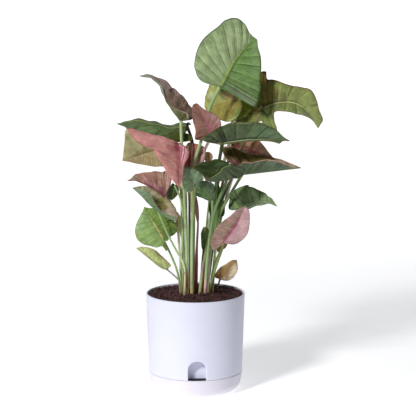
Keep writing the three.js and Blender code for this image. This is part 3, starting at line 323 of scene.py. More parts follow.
    70 32 15 6 #ab8588 70, 14 88 20 8 #967e72 80, 20 62 14 12 #94846c 60, 82 72 12 10 #c8a4a6 60;
  stalk 10 #6a4a3c, 22 #52342c, 42 #7c8b4e, 62 #879a5f, 85 #75774e

leaf_aa: base 27.9 16 123; tip 46.6 8 146.6; face 0.1 -1 0.2; fold 5 20; foot 24 18; radius 1.1;
    via 25 18 112;
  left -6 14, -6 23, 18 28, 41 27, 62 20, 89 12;
  right 10 19, 27 31, 51 34, 76 28, 92 13;
  slot leaf_tan; veins 7; quilt 0.6; crease 0.35 0.25; dark #8a4c28;
  colors #efc483 #f4d098 #f2dcb8 #f6e4c8 #a08050 #b87a54 #cf8a64;
  patches 19 30 22 11 #d89c64 90, 55 50 7 12 #d88e64 90, 66 27 14 7 #b07766 90, 76 92 30 7 #fbeec9 70;
  stalk 10 #8a5048, 40 #7a3f34, 60 #f4bfa4, 85 #a18c7e

young_leaf_e: base -4.8 5.5 283; tip -30 0 286.5; face 0.1 -1 0.3; foot -5 -3; radius 1.1; via -6 -2 180,
    -7.5 2 240;
  left 10 4, 30 9, 60 14, 85 8;
  right -6 10, 0 20, 20 29, 50 28, 75 24, 93 12;
  slot leaf_olive; veins 5; quilt 0.4;
  colors #3c4418 #505a28 #444e1c #5a6430 #434c22 #5c4c2c #6c6a38;
  patches 75 6 30 12 #b0a858 90

young_leaf_h: base -7.3 10.8 279.7; tip -8.4 9.5 244.6; face 0 -1 0.05; foot -9 4; radius 1.3; via -10 9 180,
    -10.5 12.5 245;
  left 3 30, 15 53, 57 50, 86 20;
  right 10 10, 40 20, 75 12;
  slot leaf_pink; veins 6; quilt 0.5;
  colors #bf7a72 #cf8e86 #a85c50 #b86e62 #8a5448 #c08a80 #b06058;
  patches 50 68 10 30 #6e3c2c 85, 4 50 7 30 #ecccc6 90

young_leaf_k: base -23 -13 234.7; tip -26.4 -14 218; face 0 -1 0.2; foot -12.5 -15.5; radius 1.2;
    via -14.5 -14.5 150, -15 -14 215;
  left -10 14, 17 33, 50 33, 79 19;
  right -14 13, 16 30, 48 40, 83 30;
  slot leaf_dark_green; veins 6; quilt 0.5;
  colors #3a4822 #54643a #26331a #3c4c28 #46542e #5c5c34 #7c8c50

young_leaf_t: base 14.5 20 256.1; tip 13.4 18 269.1; face -0.2 -1 0.2; foot 7 9; radius 1.2; via 12 13 180,
    17 19 235;
  left 10 19, 41 34, 72 33, 93 18;
  right 13 25, 43 43, 74 42, 94 23;
  slot leaf_brown_pink; veins 5; quilt 0.5;
  colors #b89474 #c8a688 #a8865e #b89a74 #a07c60 #b87a60 #d0988a;
  patches 60 20 20 20 #a07460 80

young_leaf_w: base 27 11 201; tip 26 13 234; face -0.2 -1 0.2; foot 12 10; radius 1.3; via 20 11 160;
  left half 36 25;
  right half 20 15;
  slot leaf_dark_green; veins 5; quilt 0.5;
  colors #405c26 #567438 #44602a #5a783c #4c5c36 #4f5c3a #708252;
  patches 47 78 12 10 #638a44 80

young_leaf_z: base 30 -10 171; tip 25 -14 159; face 0.1 -1 0.2; foot 19 -6; radius 1.1; via 22 -6 140,
    29 -7 164;
  left half 50 20;
  right half 50 20;
  slot leaf_olive; veins 4; quilt 0.4;
  colors #7a6c3c #908250 #6c6a38 #807e4a #62603a #7a5c3c #96905a

young_leaf_bb: base 9 2 159; tip 9 1 186; face -0.1 -1 0.2; fold 10 10; foot 4 0; radius 1.3; via 7 1 135;
  left 4 5, 14 8, 44 10, 74 10;
  right 5 12, 24 26, 66 29, 96 18;
  slot leaf_dark_green; veins 6; quilt 0.5;
  colors #6c8448 #80985c #566a36 #6a7e48 #5f7040 #6c7040 #92a866;
  patches 60 92 30 12 #b0bc68 85, 50 10 50 16 #8a6a50 80

young_leaf_dd: base -18 26 178; tip -21 30 199; face -0.2 -1 0.2; foot -8 20; radius 1.1; via -11 24 145;
  left half 24 15;
  right half 30 15;
  slot leaf_olive; veins 5; quilt 0.4;
  colors #8c8644 #a29c5c #827e3e #989252 #6c6a38 #8a6c42 #aca668
"""

# Defaults of the table's fields, among them the colour and strengths of the painted shade in folds and beside
# the midrib.
USUAL = dict(
    bow=0, drift=0, fold=(0, 0), sway=(), contrast=1, crease=(0.3, 0.3), groove=(0.1, 0.1), dark="#2c3014",
    gloss=0.2, fine_strength=0.3, midrib_width=0.05, rim_width=0.03, bumps=(), patches=(), under_patches=(),
)
LIST_FIELDS = ("sway", "via", "bumps")
HUNDREDTHS = ("left", "right", "patches", "under_patches", "stalk")


def half(width, lobe):
    """One half of a usual blade: lobe, belly and long tip."""
    return (
        (-0.5 * lobe, 0.2 * width),
        (-lobe, 0.5 * width),
        (-0.75 * lobe, 0.78 * width),
        (0.08, width),
        (0.4, 0.88 * width),
        (0.7, 0.5 * width),
        (0.9, 0.15 * width),
    )


def read_word(word, scale):
    return word if word[0] == "#" or word[0].isalpha() else float(word) / scale


def read_table(text):
    """Leaves by name. Blank lines divide the leaves, semicolons the fields and commas entries of a list."""
    leaves = {}
    for block in text.strip().split("\n\n"):
        name, body = block.split(":")
        leaf = dict(USUAL, name=name)
        for field in body.split(";"):
            key, words = field.split(maxsplit=1)
            scale = 100 if key in HUNDREDTHS else 1
            entries = [tuple(read_word(word, scale) for word in entry.split()) for entry in words.split(",")]
            if entries[0][0] == "half":
                leaf[key] = half(*entries[0][1:])
            elif scale == 100 or key in LIST_FIELDS:
                leaf[key] = entries
            else:
                leaf[key] = entries[0] if len(entries[0]) > 1 else entries[0][0]
        leaves[name] = leaf
    return leaves


LEAVES = read_table(LEAF_TABLE)


# Shader nodes


def linear(color):
    """A colour like #8ba273 as the shader's linear numbers."""
    parts = [int(color[i : i + 2], 16) / 255 for i in (1, 3, 5)]
    return tuple(p / 12.92 if p <= 0.04045 else ((p + 0.055) / 1.055) ** 2.4 for p in parts) + (1.0,)


def put(socket, value):
    """Links a socket or a value into an input, or sets the input to a colour or number."""
    if isinstance(value, Value):
        value = value.socket
    if isinstance(value, bpy.types.NodeSocket):
        socket.id_data.links.new(value, socket)
    else:
        socket.default_value = linear(value) if isinstance(value, str) else value


def math_node(tree, operation, *values):
    node = tree.nodes.new("ShaderNodeMath")
    node.operation = operation
    for socket, value in zip(node.inputs, values):
        put(socket, value)
    return Value(node.outputs[0])


class Value:
    """A number that changes over a surface. Each sum or product with one adds a node to its material."""

    def __init__(self, socket):
        self.socket = socket
        self.tree = socket.id_data

    def __add__(self, other):
        return math_node(self.tree, "ADD", self, other)

    def __sub__(self, other):
        return math_node(self.tree, "SUBTRACT", self, other)

    def __rsub__(self, other):
        return math_node(self.tree, "SUBTRACT", other, self)

    def __mul__(self, other):
        return math_node(self.tree, "MULTIPLY", self, other)

    def __truediv__(self, other):
        return math_node(self.tree, "DIVIDE", self, other)

    def __abs__(self):
        return math_node(self.tree, "ABSOLUTE", self)

    def root(self):
        return math_node(self.tree, "SQRT", self)

    def above(self, limit):
        return math_node(self.tree, "GREATER_THAN", self, limit)

    def teeth(self):
        """1 at whole numbers, falling to 0 halfway between them."""
        return abs(math_node(self.tree, "FRACT", self) * 2 - 1)

    def smooth(self, low, high):
        """0 at low, 1 at high, and smooth between."""
        node = self.tree.nodes.new("ShaderNodeMapRange")
        node.interpolation_type = "SMOOTHSTEP"
        for key, value in (("Value", self), ("From Min", low), ("From Max", high)):
            put(node.inputs[key], value)
        return Value(node.outputs[0])


class Shader:
    """One material with its nodes."""

    def __init__(self, name, **inputs):
        self.material = bpy.data.materials.new(name)
        self.material.use_nodes = True
        self.tree = self.material.node_tree
        self.surface = self.tree.nodes["Principled BSDF"]
        self.set(**inputs)

    def set(self, **inputs):
        """Sets inputs of the surface, such as Base_Color."""
        for key, value in inputs.items():
            put(self.surface.inputs[key.replace("_", " ")], value)

    def node(self, kind, **inputs):
        node = self.tree.nodes.new("ShaderNode" + kind)
        for key, value in inputs.items():
            put(node.inputs[key], value)
        return node

    def mix(self, share, first, second, blend="MIX"):
        node = self.node("Mix")
        node.data_type = "RGBA"
        node.blend_type = blend
        for place, value in ((0, share), (6, first), (7, second)):
            put(node.inputs[place], value)
        return node.outputs[2]

    def uv(self, layer):
        node = self.node("UVMap")
        node.uv_map = layer
        parts = self.node("SeparateXYZ", Vector=node.outputs[0])
        return Value(parts.outputs[0]), Value(parts.outputs[1])

    def place(self, stretch=(1, 1, 1)):
        """Where a point of the object is, in metres."""
        coords = self.node("TexCoord").outputs["Object"]
        return self.node("Mapping", Vector=coords, Scale=stretch).outputs[0]

    def noise(self, scale, detail, roughness=0.55, stretch=(1, 1, 1)):
        place = self.place(stretch)
        node = self.node("TexNoise", Vector=place, Scale=scale, Detail=detail, Roughness=roughness)
        return Value(node.outputs["Fac"])

    def cells(self, scale):
        node = self.node("TexVoronoi", Vector=self.place(), Scale=scale)
        node.feature = "DISTANCE_TO_EDGE"
        return Value(node.outputs["Distance"])

    def tint(self, base, shade):
        """Colours the surface with the base, darkened by the shade."""
        tone = self.node("CombineColor", Red=shade, Green=shade, Blue=shade).outputs[0]
        self.set(Base_Color=self.mix(1.0, base, tone, "MULTIPLY"))

    def bump(self, height, strength, distance):
        self.set(Normal=self.node("Bump", Height=height, Strength=strength, Distance=distance).outputs[0])


def leaf_surface(name, leaf, underside):
    """Upper or lower side of a blade: two halves, side veins, a fine net between them, patches, painted shade
    in the folds and beside the midrib, and a rim. Some patches are painted shadow or painted light.
    """
    left, left_vein, right, right_vein, under, rim, midrib = leaf["colors"]
    shader = Shader(name)
    u, v = shader.uv("leaf")
    across = abs(u - 0.5) * 2
    is_right = u.above(0.5)
    cloud = shader.noise(45, 3)
    mottle = shader.noise(150, 4, 0.6)
    speckle = shader.noise(520, 3, 0.6)
    if underside:
        base = shader.mix(cloud.smooth(0.4, 0.7), under, leaf.get("under_too", under))
        vein = midrib
    else:
        base = shader.mix(is_right, left, right)
        vein = shader.mix(is_right, left_vein, right_vein)
    # Patches: the leaf's own coloured areas, and, where the table gives them, painted shadows and painted
    # light.
    for place_u, place_v, wide, high, color, strength in leaf["under_patches" if underside else "patches"]:
        du, dv = (u - place_u) / wide, (v - place_v) / high
        far = (du * du + dv * dv).root()
        share = 1 - (mottle * 0.7 + (far - 0.35)).smooth(0.7, 1.25)
        base = shader.mix(share * strength, base, color)

    wobble = shader.noise(60, 2) * 0.16 - 0.08
    phase = v * leaf["veins"] + wobble
    ridge = phase.teeth()
    fine = (v * leaf.get("fine", 3 * leaf["veins"]) + wobble * 2.5).teeth()
    fine = (mottle * 0.3 + fine).smooth(0.8, 1.15)
    fade = 1 - across.smooth(0.75, 1.0)
    net = 1 - shader.cells(330).smooth(0.0, 0.12)
    contrast = leaf["contrast"] * (0.6 if underside else 1.0)
    base = shader.mix(ridge.smooth(0.2, 1.0) * (0.3 * contrast), base, vein)
    base = shader.mix(fine * leaf["fine_strength"], base, vein)
    base = shader.mix(ridge.smooth(0.82, 0.98) * fade * (0.6 * contrast), base, vein)
    base = shader.mix(net * 0.12, base, vein)

    # Painted shade in the folds beside the side veins, mixed toward the leaf's shade colour.
    crease = (mottle * 0.14 + (phase + 0.13).teeth()).smooth(0.9, 1.06)
    crease = crease * shader.noise(70, 2).smooth(0.36, 0.56)
    # Painted shadow in a band each side of the midrib, in the same shade colour.
    groove = across.smooth(0.03, 0.06) - across.smooth(0.07, 0.17)
    for shape, (on_left, on_right) in ((crease, leaf["crease"]), (groove, leaf["groove"])):
        base = shader.mix(shape * (is_right * (on_right - on_left) + on_left), base, leaf["dark"])
    middle = 1 - across.smooth(0.012, leaf["midrib_width"])
    base = shader.mix(middle * 0.9, base, midrib)
    inner_edge = 1 - leaf["rim_width"]
    edge = (mottle * 0.03 + across).smooth(inner_edge, inner_edge + 0.03)
    base = shader.mix(edge * 0.85, base, rim)

    shade = (cloud.smooth(0.3, 0.7) * 0.22 + 0.86) * (mottle.smooth(0.3, 0.7) * 0.34 + 0.84)
    shader.tint(base, shade * (speckle * 0.3 + 0.86))
    shader.set(Roughness=cloud * 0.25 + (0.5 if underside else 0.36))
    shader.set(Specular_IOR_Level=0.12 if underside else leaf["gloss"])
    shader.bump(speckle * 0.5 - net * 0.3 - fine * 0.5 - crease * 0.9, 0.65, 0.001)
    return shader.material


def stalk_surface(name, colors):
    """Stalk: colours from the foot to the top, with fine lines along it and small brown scars low down."""
    shader = Shader(name, Roughness=0.45, Specular_IOR_Level=0.25)
    _, v = shader.uv("stalk")
    cloud = shader.noise(55, 3)
    spots = shader.noise(210, 3, 0.65)
    along = cloud * 0.1 + (v - 0.05)
    low, base = colors[0]
    for high, color in colors[1:]:
        base = shader.mix(along.smooth(low, high), base, color)
        low = high
    scar = spots.smooth(0.6, 0.72) * (1 - v.smooth(0.3, 0.9))
    base = shader.mix(scar * 0.75, base, "#8a4a30")
    lines = shader.noise(900, 2, 0.5, (1, 1, 0.04))
    shader.tint(base, lines * 0.5 + (cloud * 0.25 + 0.62))
    shader.bump(lines, 0.4, 0.0004)
    return shader.material


def plastic(name, color, shade):
    """Moulded matt plastic: nearly even, with a faint cloud, a fine grain and a little dust."""
    shader = Shader(name)
    cloud = shader.noise(18, 3)
    grain = shader.noise(1600, 2, 0.5)
    dust = shader.noise(130, 4, 0.7)
    base = shader.mix(cloud.smooth(0.3, 0.7), color, shade)
    base = shader.mix(dust.smooth(0.62, 0.8) * 0.25, base, "#cfcbd0")
    shader.set(Base_Color=base, Roughness=cloud * 0.2 + 0.34)
    shader.bump(grain + cloud * 0.8, 0.12, 0.0003)
    return shader.material


def soil_surface():
    """Moist potting mix: reddish brown crumbs, painted shade in the hollows and thin cracks between them, and
    painted highlights where the crumbs stand highest.
    """
    shader = Shader("potting_soil_skin")
    lumps = shader.noise(150, 5, 0.65)
    crumbs = shader.noise(700, 4, 0.7)
    base = shader.mix(lumps.smooth(0.38, 0.62), "#1c0e10", "#5e3836")
    # Painted highlight: paler where the crumbs stand highest.
    base = shader.mix(crumbs.smooth(0.54, 0.7) * 0.75, base, "#8e5e54")
    # Painted shade in the hollows between crumbs.
    base = shader.mix(crumbs.smooth(0.45, 0.25) * 0.5, base, "#180e0f")
    # Painted shade in thin cracks along the edges of cells.
    base = shader.mix(shader.cells(420).smooth(0.05, 0.0) * 0.6, base, "#1d1112")
    shader.set(Base_Color=base, Roughness=crumbs * 0.3 + 0.65)
    shader.bump(crumbs + lumps, 0.9, 0.0016)
    return shader.material


def paper_surface():
    """Pale, faintly glowing paper that is clear when seen from its back."""
    shader = Shader("pale_paper", Roughness=0.9, Emission_Color=(1, 1, 1, 1), Emission_Strength=0.5)
    shader.set(Base_Color=shader.mix(shader.noise(3, 2), "#f6f6f7", "#f9f9fa"))
    facing = shader.node("NewGeometry").outputs["Backfacing"]
    mix_surfaces(shader.tree, facing, shader.surface, shader.node("BsdfTransparent"), "Material Output")
    return shader.material


def mix_surfaces(tree, share, first, second, output):
    """Links a mix of two surface or background nodes into the output node."""
    blend = tree.nodes.new("ShaderNodeMixShader")
    for socket, value in zip(blend.inputs, (share, first.outputs[0], second.outputs[0])):
        put(socket, value)
    put(tree.nodes[output].inputs["Surface"], blend.outputs[0])


# Meshes from points


def add_object(name, mesh):
    thing = bpy.data.objects.new(name, mesh)
    bpy.context.scene.collection.objects.link(thing)
    return thing


def make_object(name, points, faces, materials, uvs=None, uv_name="plain", slots=None):
    """A mesh from points in millimetres. Equal points are merged and faces that collapse are left out. uvs
    and slots hold a place for each corner and a material number for each face."""
    numbers = {}
    rounded = np.round(np.asarray(points, float), 4).tolist()
    number = [numbers.setdefault(tuple(point), len(numbers)) for point in rounded]
    kept_faces, kept_uvs, kept_slots = [], [], []
    for index, face in enumerate(faces):
        ids, spots = [], []
        for corner, vertex in enumerate(face):
            if number[vertex] not in ids:
                ids.append(number[vertex])
                spots.append(uvs[index][corner] if uvs else (0, 0))
        if len(ids) >= 3:
            kept_faces.append(ids)
            kept_uvs.extend(spots)
            kept_slots.append(slots[index] if slots else 0)
    mesh = bpy.data.meshes.new(name)
    mesh.from_pydata([tuple(c * MM for c in point) for point in numbers], [], kept_faces)
    layer = mesh.uv_layers.new(name=uv_name)
    layer.data.foreach_set("uv", np.asarray(kept_uvs, np.float32).ravel())
    mesh.polygons.foreach_set("material_index", np.asarray(kept_slots, np.int32))
    mesh.shade_smooth()
    for material in materials:
        mesh.materials.append(material)
    mesh.update()
    return add_object(name, mesh)


def join(things, name):
    """Several objects as one, with their materials."""
    bpy.ops.object.select_all(action="DESELECT")
    for thing in things:
        thing.select_set(True)
    bpy.context.view_layer.objects.active = things[0]
    bpy.ops.object.join()
    things[0].name = name
    return things[0]


def finish_piece(thing, node):
    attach(thing, "root")
    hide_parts(node)


def circle(sides):
    """Angles of the points of a ring."""
    return np.arange(sides) / sides * 2 * math.pi


def band(low, high, sides, outward=True):
    """Faces between two rings of points, whose first numbers are low and high."""
    faces = [(low + i, low + (i + 1) % sides, high + (i + 1) % sides, high + i) for i in range(sides)]
    return faces if outward else [(a, d, c, b) for a, b, c, d in faces]


def band_uvs(low, high, sides):
    """Places on the uv map for the faces of a band, from the height low to high."""
    marks = [i / sides for i in range(sides + 1)]
    return [[(a, low), (b, low), (b, high), (a, high)] for a, b in zip(marks, marks[1:])]


# Curves


def unit(vectors):
    return vectors / np.maximum(np.linalg.norm(vectors, axis=-1, keepdims=True), 1e-12)


def curve_points(points, shares):
    """Centripetal Catmull-Rom curve through the points, with as much of the share for each span."""
    points = [np.asarray(p, float) for p in points]
    spans = len(points) - 1
    found = []
    for share in shares:
        place = min(max(share, 0) * spans, spans - 1e-9)
        k = int(place)
        w = place - k
        p1, p2 = points[k], points[k + 1]
        p0 = points[k - 1] if k > 0 else 2 * p1 - p2
        p3 = points[k + 2] if k + 2 <= spans else 2 * p2 - p1
        d0, d1, d2 = (math.sqrt(max(np.linalg.norm(b - a), 1e-6)) for a, b in ((p0, p1), (p1, p2), (p2, p3)))
        t1 = ((p1 - p0) / d0 - (p2 - p0) / (d0 + d1) + (p2 - p1) / d1) * d1
        t2 = ((p2 - p1) / d1 - (p3 - p1) / (d1 + d2) + (p3 - p2) / d2) * d1
        found.append(p1 + t1 * w + (3 * (p2 - p1) - 2 * t1 - t2) * w * w + (2 * (p1 - p2) + t1 + t2) * w**3)
    return np.array(found)


def bell(x, low, high):
    """0 below low, 1 above high, and smooth between."""
    t = np.clip((x - low) / (high - low), 0, 1)
    return t * t * (3 - 2 * t)


# Leaf blades


class Midrib:
    """A parabola from the base to the tip. bow lifts its middle and drift moves it sideways."""

    def __init__(self, leaf):
        self.base = np.array(leaf["base"], float)
        self.chord = np.array(leaf["tip"], float) - self.base
        self.length = np.linalg.norm(self.chord)
        along = unit(self.chord)
        self.across = unit(np.cross(along, unit(np.array(leaf["face"], float))))
        self.up = np.cross(self.across, along)
        self.bow, self.drift = leaf["bow"], leaf["drift"]
        self.knots = np.array([(0, 0, 0), *leaf["sway"], (1, 0, 0)], float)

    def sway(self, share):
        """Offsets across and up at a share of the midrib, eased from one listed bend to the next."""
        place = np.clip(share, 0, 1)
        k = np.clip(np.searchsorted(self.knots[:, 0], place), 1, len(self.knots) - 1)
        low, high = self.knots[k - 1], self.knots[k]
        step = ((place - low[..., 0]) / (high[..., 0] - low[..., 0]))[..., None]
        return low[..., 1:] + (high[..., 1:] - low[..., 1:]) * step * step * (3 - 2 * step)

    def point(self, share):
        sway = self.sway(np.asarray(share, float))
        share = np.asarray(share, float)[..., None]
        arch = np.where(share > 0, 4 * share * (1 - share), 4 * share)
        lift = self.up * (self.bow * arch + sway[..., 1:])
        return self.base + self.chord * share + lift + self.across * (self.drift * arch + sway[..., :1])

    def frame(self, share):
        """Directions to the side and out of the upper side."""
        share = np.asarray(share, float)
        forward = unit(self.point(share + 0.01) - self.point(share - 0.01))
        side = unit(np.cross(forward, self.up))
        return side, np.cross(side, forward)


def sheet_normals(grid):
    """Unit normals of a grid of points, summed from its faces. Points in one place share a normal."""
    rows, columns = grid.shape[:2]
    flat = grid.reshape(-1, 3)
    _, same = np.unique(np.round(flat, 3), axis=0, return_inverse=True)
    same = same.ravel()
    index = np.arange(rows * columns).reshape(rows, columns)
    a, b, c, d = index[:-1, :-1], index[:-1, 1:], index[1:, 1:], index[1:, :-1]
    total = np.zeros((same.max() + 1, 3))
    for one, two, three in ((a, b, c), (a, c, d)):
        one, two, three = one.ravel(), two.ravel(), three.ravel()
        normal = np.cross(flat[two] - flat[one], flat[three] - flat[one])
        for corner in (one, two, three):
            np.add.at(total, same[corner], normal)
    return unit(total)[same].reshape(rows, columns, 3)


def both_halves(left, right):
    """Rows of the left half turned about and followed by the right half, without the midrib twice."""
    return np.concatenate([left[:, :0:-1], right], axis=1)


def make_blade(leaf, rows, columns):
    """A thin blade with quilted halves, a ridge under the midrib and a slightly wavy edge."""
    rib = Midrib(leaf)
    shares = np.linspace(0, 1, rows + 1)
    starts = np.maximum(0, (shares - 0.3) / 0.7) ** 1.25
    steps = np.linspace(0, 1, columns + 1) ** 1.35
    halves = []
    for sign, fold, outline in zip((-1, 1), np.radians(leaf["fold"]), (leaf["left"], leaf["right"])):
        edge = curve_points([(0, 0), *outline, (1, 0)], shares)
        share = starts[:, None] + (edge[:, :1] - starts[:, None]) * steps
        reach = edge[:, 1:2] * steps
        out, lift = reach * math.cos(fold), reach * math.sin(fold)
        side, normal = rib.frame(share)
        place = rib.point(share) + (side * sign * out[..., None] + normal * lift[..., None]) * rib.length
        halves.append((place, reach * rib.length))
    grid, reach = (both_halves(left, right) for left, right in zip(*halves))
    part = both_halves(steps[None], steps[None])
    u = both_halves(0.5 - 0.5 * steps[None], 0.5 + 0.5 * steps[None])[0]

    quilt = leaf["quilt"] * np.sin(math.pi * shares * leaf["veins"])[:, None] ** 2
    relief = quilt * bell(reach, 1.0, 9.0) * (1 - 0.7 * bell(part, 0.7, 1.0))
    relief = relief - 0.5 * leaf["quilt"] * (1 - bell(reach, 0.3, 3.0))
    seed = sum(ord(letter) for letter in leaf["name"])
    waves = ((1, 3.4, 1), (0.6, 7.9, 1.7), (0.35, 14.3, 2.9))
    wave = sum(height * np.sin(2 * math.pi * turns * shares + shift * seed) for height, turns, shift in waves)
    wave = wave[:, None] * np.where(u < 0.5, 1.0, -0.8)[None, :]
    relief = relief + 0.7 * wave * bell(part, 0.35, 1.0) * bell(reach, 4, 14)
    for place_u, place_v, wide, high, height in leaf["bumps"]:
        spread = ((u[None, :] - place_u) / wide) ** 2 + ((shares[:, None] - place_v) / high) ** 2
        relief = relief + height * np.exp(-spread) * bell(reach, 0.5, 4)
    grid = grid + sheet_normals(grid) * relief[..., None]

    normal = sheet_normals(grid)
    thick = BLADE_THICKNESS * (1 - 0.7 * bell(part, 0.75, 1.0)) * np.ones_like(reach)
    rib_width = 1.3 * (1 - 0.6 * shares)[:, None]
    keel = 1.1 * (1 - 0.75 * shares)[:, None] * np.exp(-((reach / rib_width) ** 2)) * rib.length / 70
    upper = grid + normal * (thick / 2)[..., None]
    lower = grid - normal * (thick / 2 + keel)[..., None]
    points = np.concatenate([upper.reshape(-1, 3), lower.reshape(-1, 3)])
    wide = grid.shape[1]
    count = grid.shape[0] * wide
    faces, slots = [], []
    for i in range(rows):
        low, high = i * wide, (i + 1) * wide
        for j in range(wide - 1):
            quad = (low + j, low + j + 1, high + j + 1, high + j)
            faces += [quad, tuple(k + count for k in reversed(quad))]
            slots += [0, 1]
        last = wide - 1
        faces += [(high, high + count, low + count, low)]
        faces += [(low + last, low + last + count, high + last + count, high + last)]
        slots += [0, 0]
    spot = [(float(across), float(along)) for along in shares for across in u]
    uvs = [[spot[k % count] for k in face] for face in faces]
    surfaces = [leaf_surface(leaf["name"] + side, leaf, side == "_under") for side in ("_upper", "_under")]
    return make_object(leaf["name"] + "_blade", points, faces, surfaces, uvs, "leaf", slots)


# Stalks


def make_tube(name, path, radius_at, material, sides=STALK_SIDES):
    """A tube along a path with a changing radius and a shallow furrow on one side."""
    forward = unit(np.gradient(path, axis=0))
    across = unit(np.cross(forward[0], (0.0, 1.0, 0.1)))
    lengths = np.concatenate([[0], np.cumsum(np.linalg.norm(np.diff(path, axis=0), axis=1))])
    shares = [float(length) for length in lengths / lengths[-1]]
    cos, sin = np.cos(circle(sides))[:, None], np.sin(circle(sides))[:, None]
    rings = []
    for k, centre in enumerate(path):
        across = unit(across - forward[k] * np.dot(across, forward[k]))
        radius = radius_at(shares[k]) * (1 - 0.12 * np.maximum(0, cos) ** 6)
        rings.append(centre + radius * (cos * across + sin * np.cross(forward[k], across)))
    points = np.concatenate(rings + [path[:1], path[-1:]])
    faces, uvs = [], []
    for k in range(len(path) - 1):
        faces += band(k * sides, (k + 1) * sides, sides)
        uvs += band_uvs(shares[k], shares[k + 1], sides)
    top = (len(path) - 1) * sides
    foot_centre, top_centre = len(path) * sides, len(path) * sides + 1
    for i in range(sides):
        n = (i + 1) % sides
        faces += [(foot_centre, n, i), (top_centre, top + i, top + n)]
        uvs += [[(0.5, 0.0)] * 3, [(0.5, 1.0)] * 3]
    return make_object(name, points, faces, [material], uvs, "stalk")


def stalk_path(leaf, end, steps):
    """Up out of the soil and through the listed points to the end."""
    foot = (*leaf["foot"], SOIL_EDGE - STALK_DEPTH_IN_SOIL)
    return curve_points([foot, *leaf["via"], end], np.linspace(0, 1, steps))


def make_stalk(name, leaf, material, sink, steps, foot_flare, top_flare=0, sides=STALK_SIDES):
    """A stalk that ends a little under the base of its blade and is thicker at its foot and its top."""

    def radius_at(share):
        foot, top = max(0, 1 - share / 0.3) ** 2, max(0, share - 0.93)
        return leaf["radius"] * (1 + foot_flare * foot + top_flare * top / 0.07)

    _, normal = Midrib(leaf).frame(0.0)
    path = stalk_path(leaf, leaf["base"] - normal * sink, steps)
    return make_tube(name, path, radius_at, material, sides)


young_skin = stalk_surface("young_stalk_skin", YOUNG_STALK)
brown_shaded_skin = stalk_surface("brown_stalk_skin", BROWN_SHADED_STALK)

for name, leaf in LEAVES.items():
    if name.startswith("young"):
        skin = brown_shaded_skin if name in BROWN_SHADED_STALKS else young_skin
        blade = make_blade(leaf, rows=48, columns=10)
        stalk = make_stalk(name + "_stalk", leaf, skin, sink=0.2, steps=34, foot_flare=0.25, sides=10)
        finish_piece(join([blade, stalk], name + "_whole"), name)
    else:
        finish_piece(make_blade(leaf, rows=84, columns=16), name + "_blade")
        skin_name = name + "_stalk_skin"
        skin = stalk_surface(skin_name, leaf["stalk"])
        stalk = make_stalk(skin_name, leaf, skin, sink=0.4, steps=44, foot_flare=0.3, top_flare=0.15)
        finish_piece(stalk, name + "_stalk")


def make_rolled_leaf(levels=40, sides=28):
    """A leaf rolled into a spindle, with the edge of the roll winding up it, on a stalk in a wide sheath."""
    leaf = ROLLED_LEAF
    base, tip = np.array(leaf["base"], float), np.array(leaf["tip"], float)
    length = np.linalg.norm(tip - base)
    up = (tip - base) / length
    side = unit(np.cross(up, (0.0, 1.0, 0.0)))
    front = np.cross(up, side)
    widest = leaf["widest"]
    points, faces, uvs = [], [], []
    for k in range(levels + 1):
        share = k / levels
        radius = np.interp(share, (0, 0.2, 0.45, 0.8, 1), (1.0, 0.8 * widest, widest, 0.6 * widest, 0.1))
        for i in range(sides):
            reach = radius * (1 - 0.14 * ((i / sides + 0.9 * share) % 1.0))
            angle = i / sides * 2 * math.pi
            outward = math.cos(angle) * side + math.sin(angle) * front
            points.append(base + up * share * length + reach * outward)
    for k in range(levels):
        faces += band(k * sides, (k + 1) * sides, sides)
        uvs += band_uvs(k / levels, (k + 1) / levels, sides)
    faces += [tuple(range(sides))[::-1], tuple(levels * sides + i for i in range(sides))]
    uvs += [[(0.5, 0.0)] * sides, [(0.5, 1.0)] * sides]
    skin = stalk_surface("rolled_leaf_skin", ROLLED_SPINDLE)
    spindle = make_object("rolled_spindle", points, faces, [skin], uvs, "stalk")
    sheath = stalk_surface("rolled_sheath_skin", ROLLED_SHEATH)

    def sheath_radius(share):
        return np.interp(share, (0, 0.2, 0.5, 0.72, 1), (1.5, 2.4, 2.2, 1.4, 1.2))

    stalk = make_tube("rolled_stalk", stalk_path(leaf, leaf["base"], 30), sheath_radius, sheath)
    return join([spindle, stalk], "rolled_leaf_whole")


finish_piece(make_rolled_leaf(), "rolled_leaf")


# Pot and tray


def lathe(name, profile, material, sides=LATHE_SIDES):
    """A closed solid of revolution from a profile that starts and ends on the axis."""
    points, faces = [], []
    for radius, height in profile:
        points += [(radius * math.cos(a), radius * math.sin(a), height) for a in circle(sides)]
    for k in range(len(profile) - 1):
        faces += band(k * sides, (k + 1) * sides, sides)
    return make_object(name, points, faces, [material])


def arc(centre, radius, start, end, steps):
    """Points of a round corner, with the angles in degrees."""
    angles = [math.radians(start + (end - start) * k / steps) for k in range(steps + 1)]
    return [(centre[0] + radius * math.cos(a), centre[1] + radius * math.sin(a)) for a in angles]


def cut(thing, tool, operation="DIFFERENCE"):
    """Cuts the tool out of the thing, or joins it, and removes the tool."""
    modifier = thing.modifiers.new("cut", "BOOLEAN")
    modifier.operation = operation
    modifier.solver = "EXACT"
    modifier.object = tool
    bpy.context.view_layer.objects.active = thing
    bpy.ops.object.modifier_apply(modifier="cut")
    bpy.data.objects.remove(tool)


def shell_radius(height):
    share = (height - SEAM_HEIGHT) / (POT_HEIGHT - SEAM_HEIGHT)
    return SEAM_RADIUS + (RIM_RADIUS - SEAM_RADIUS) * share


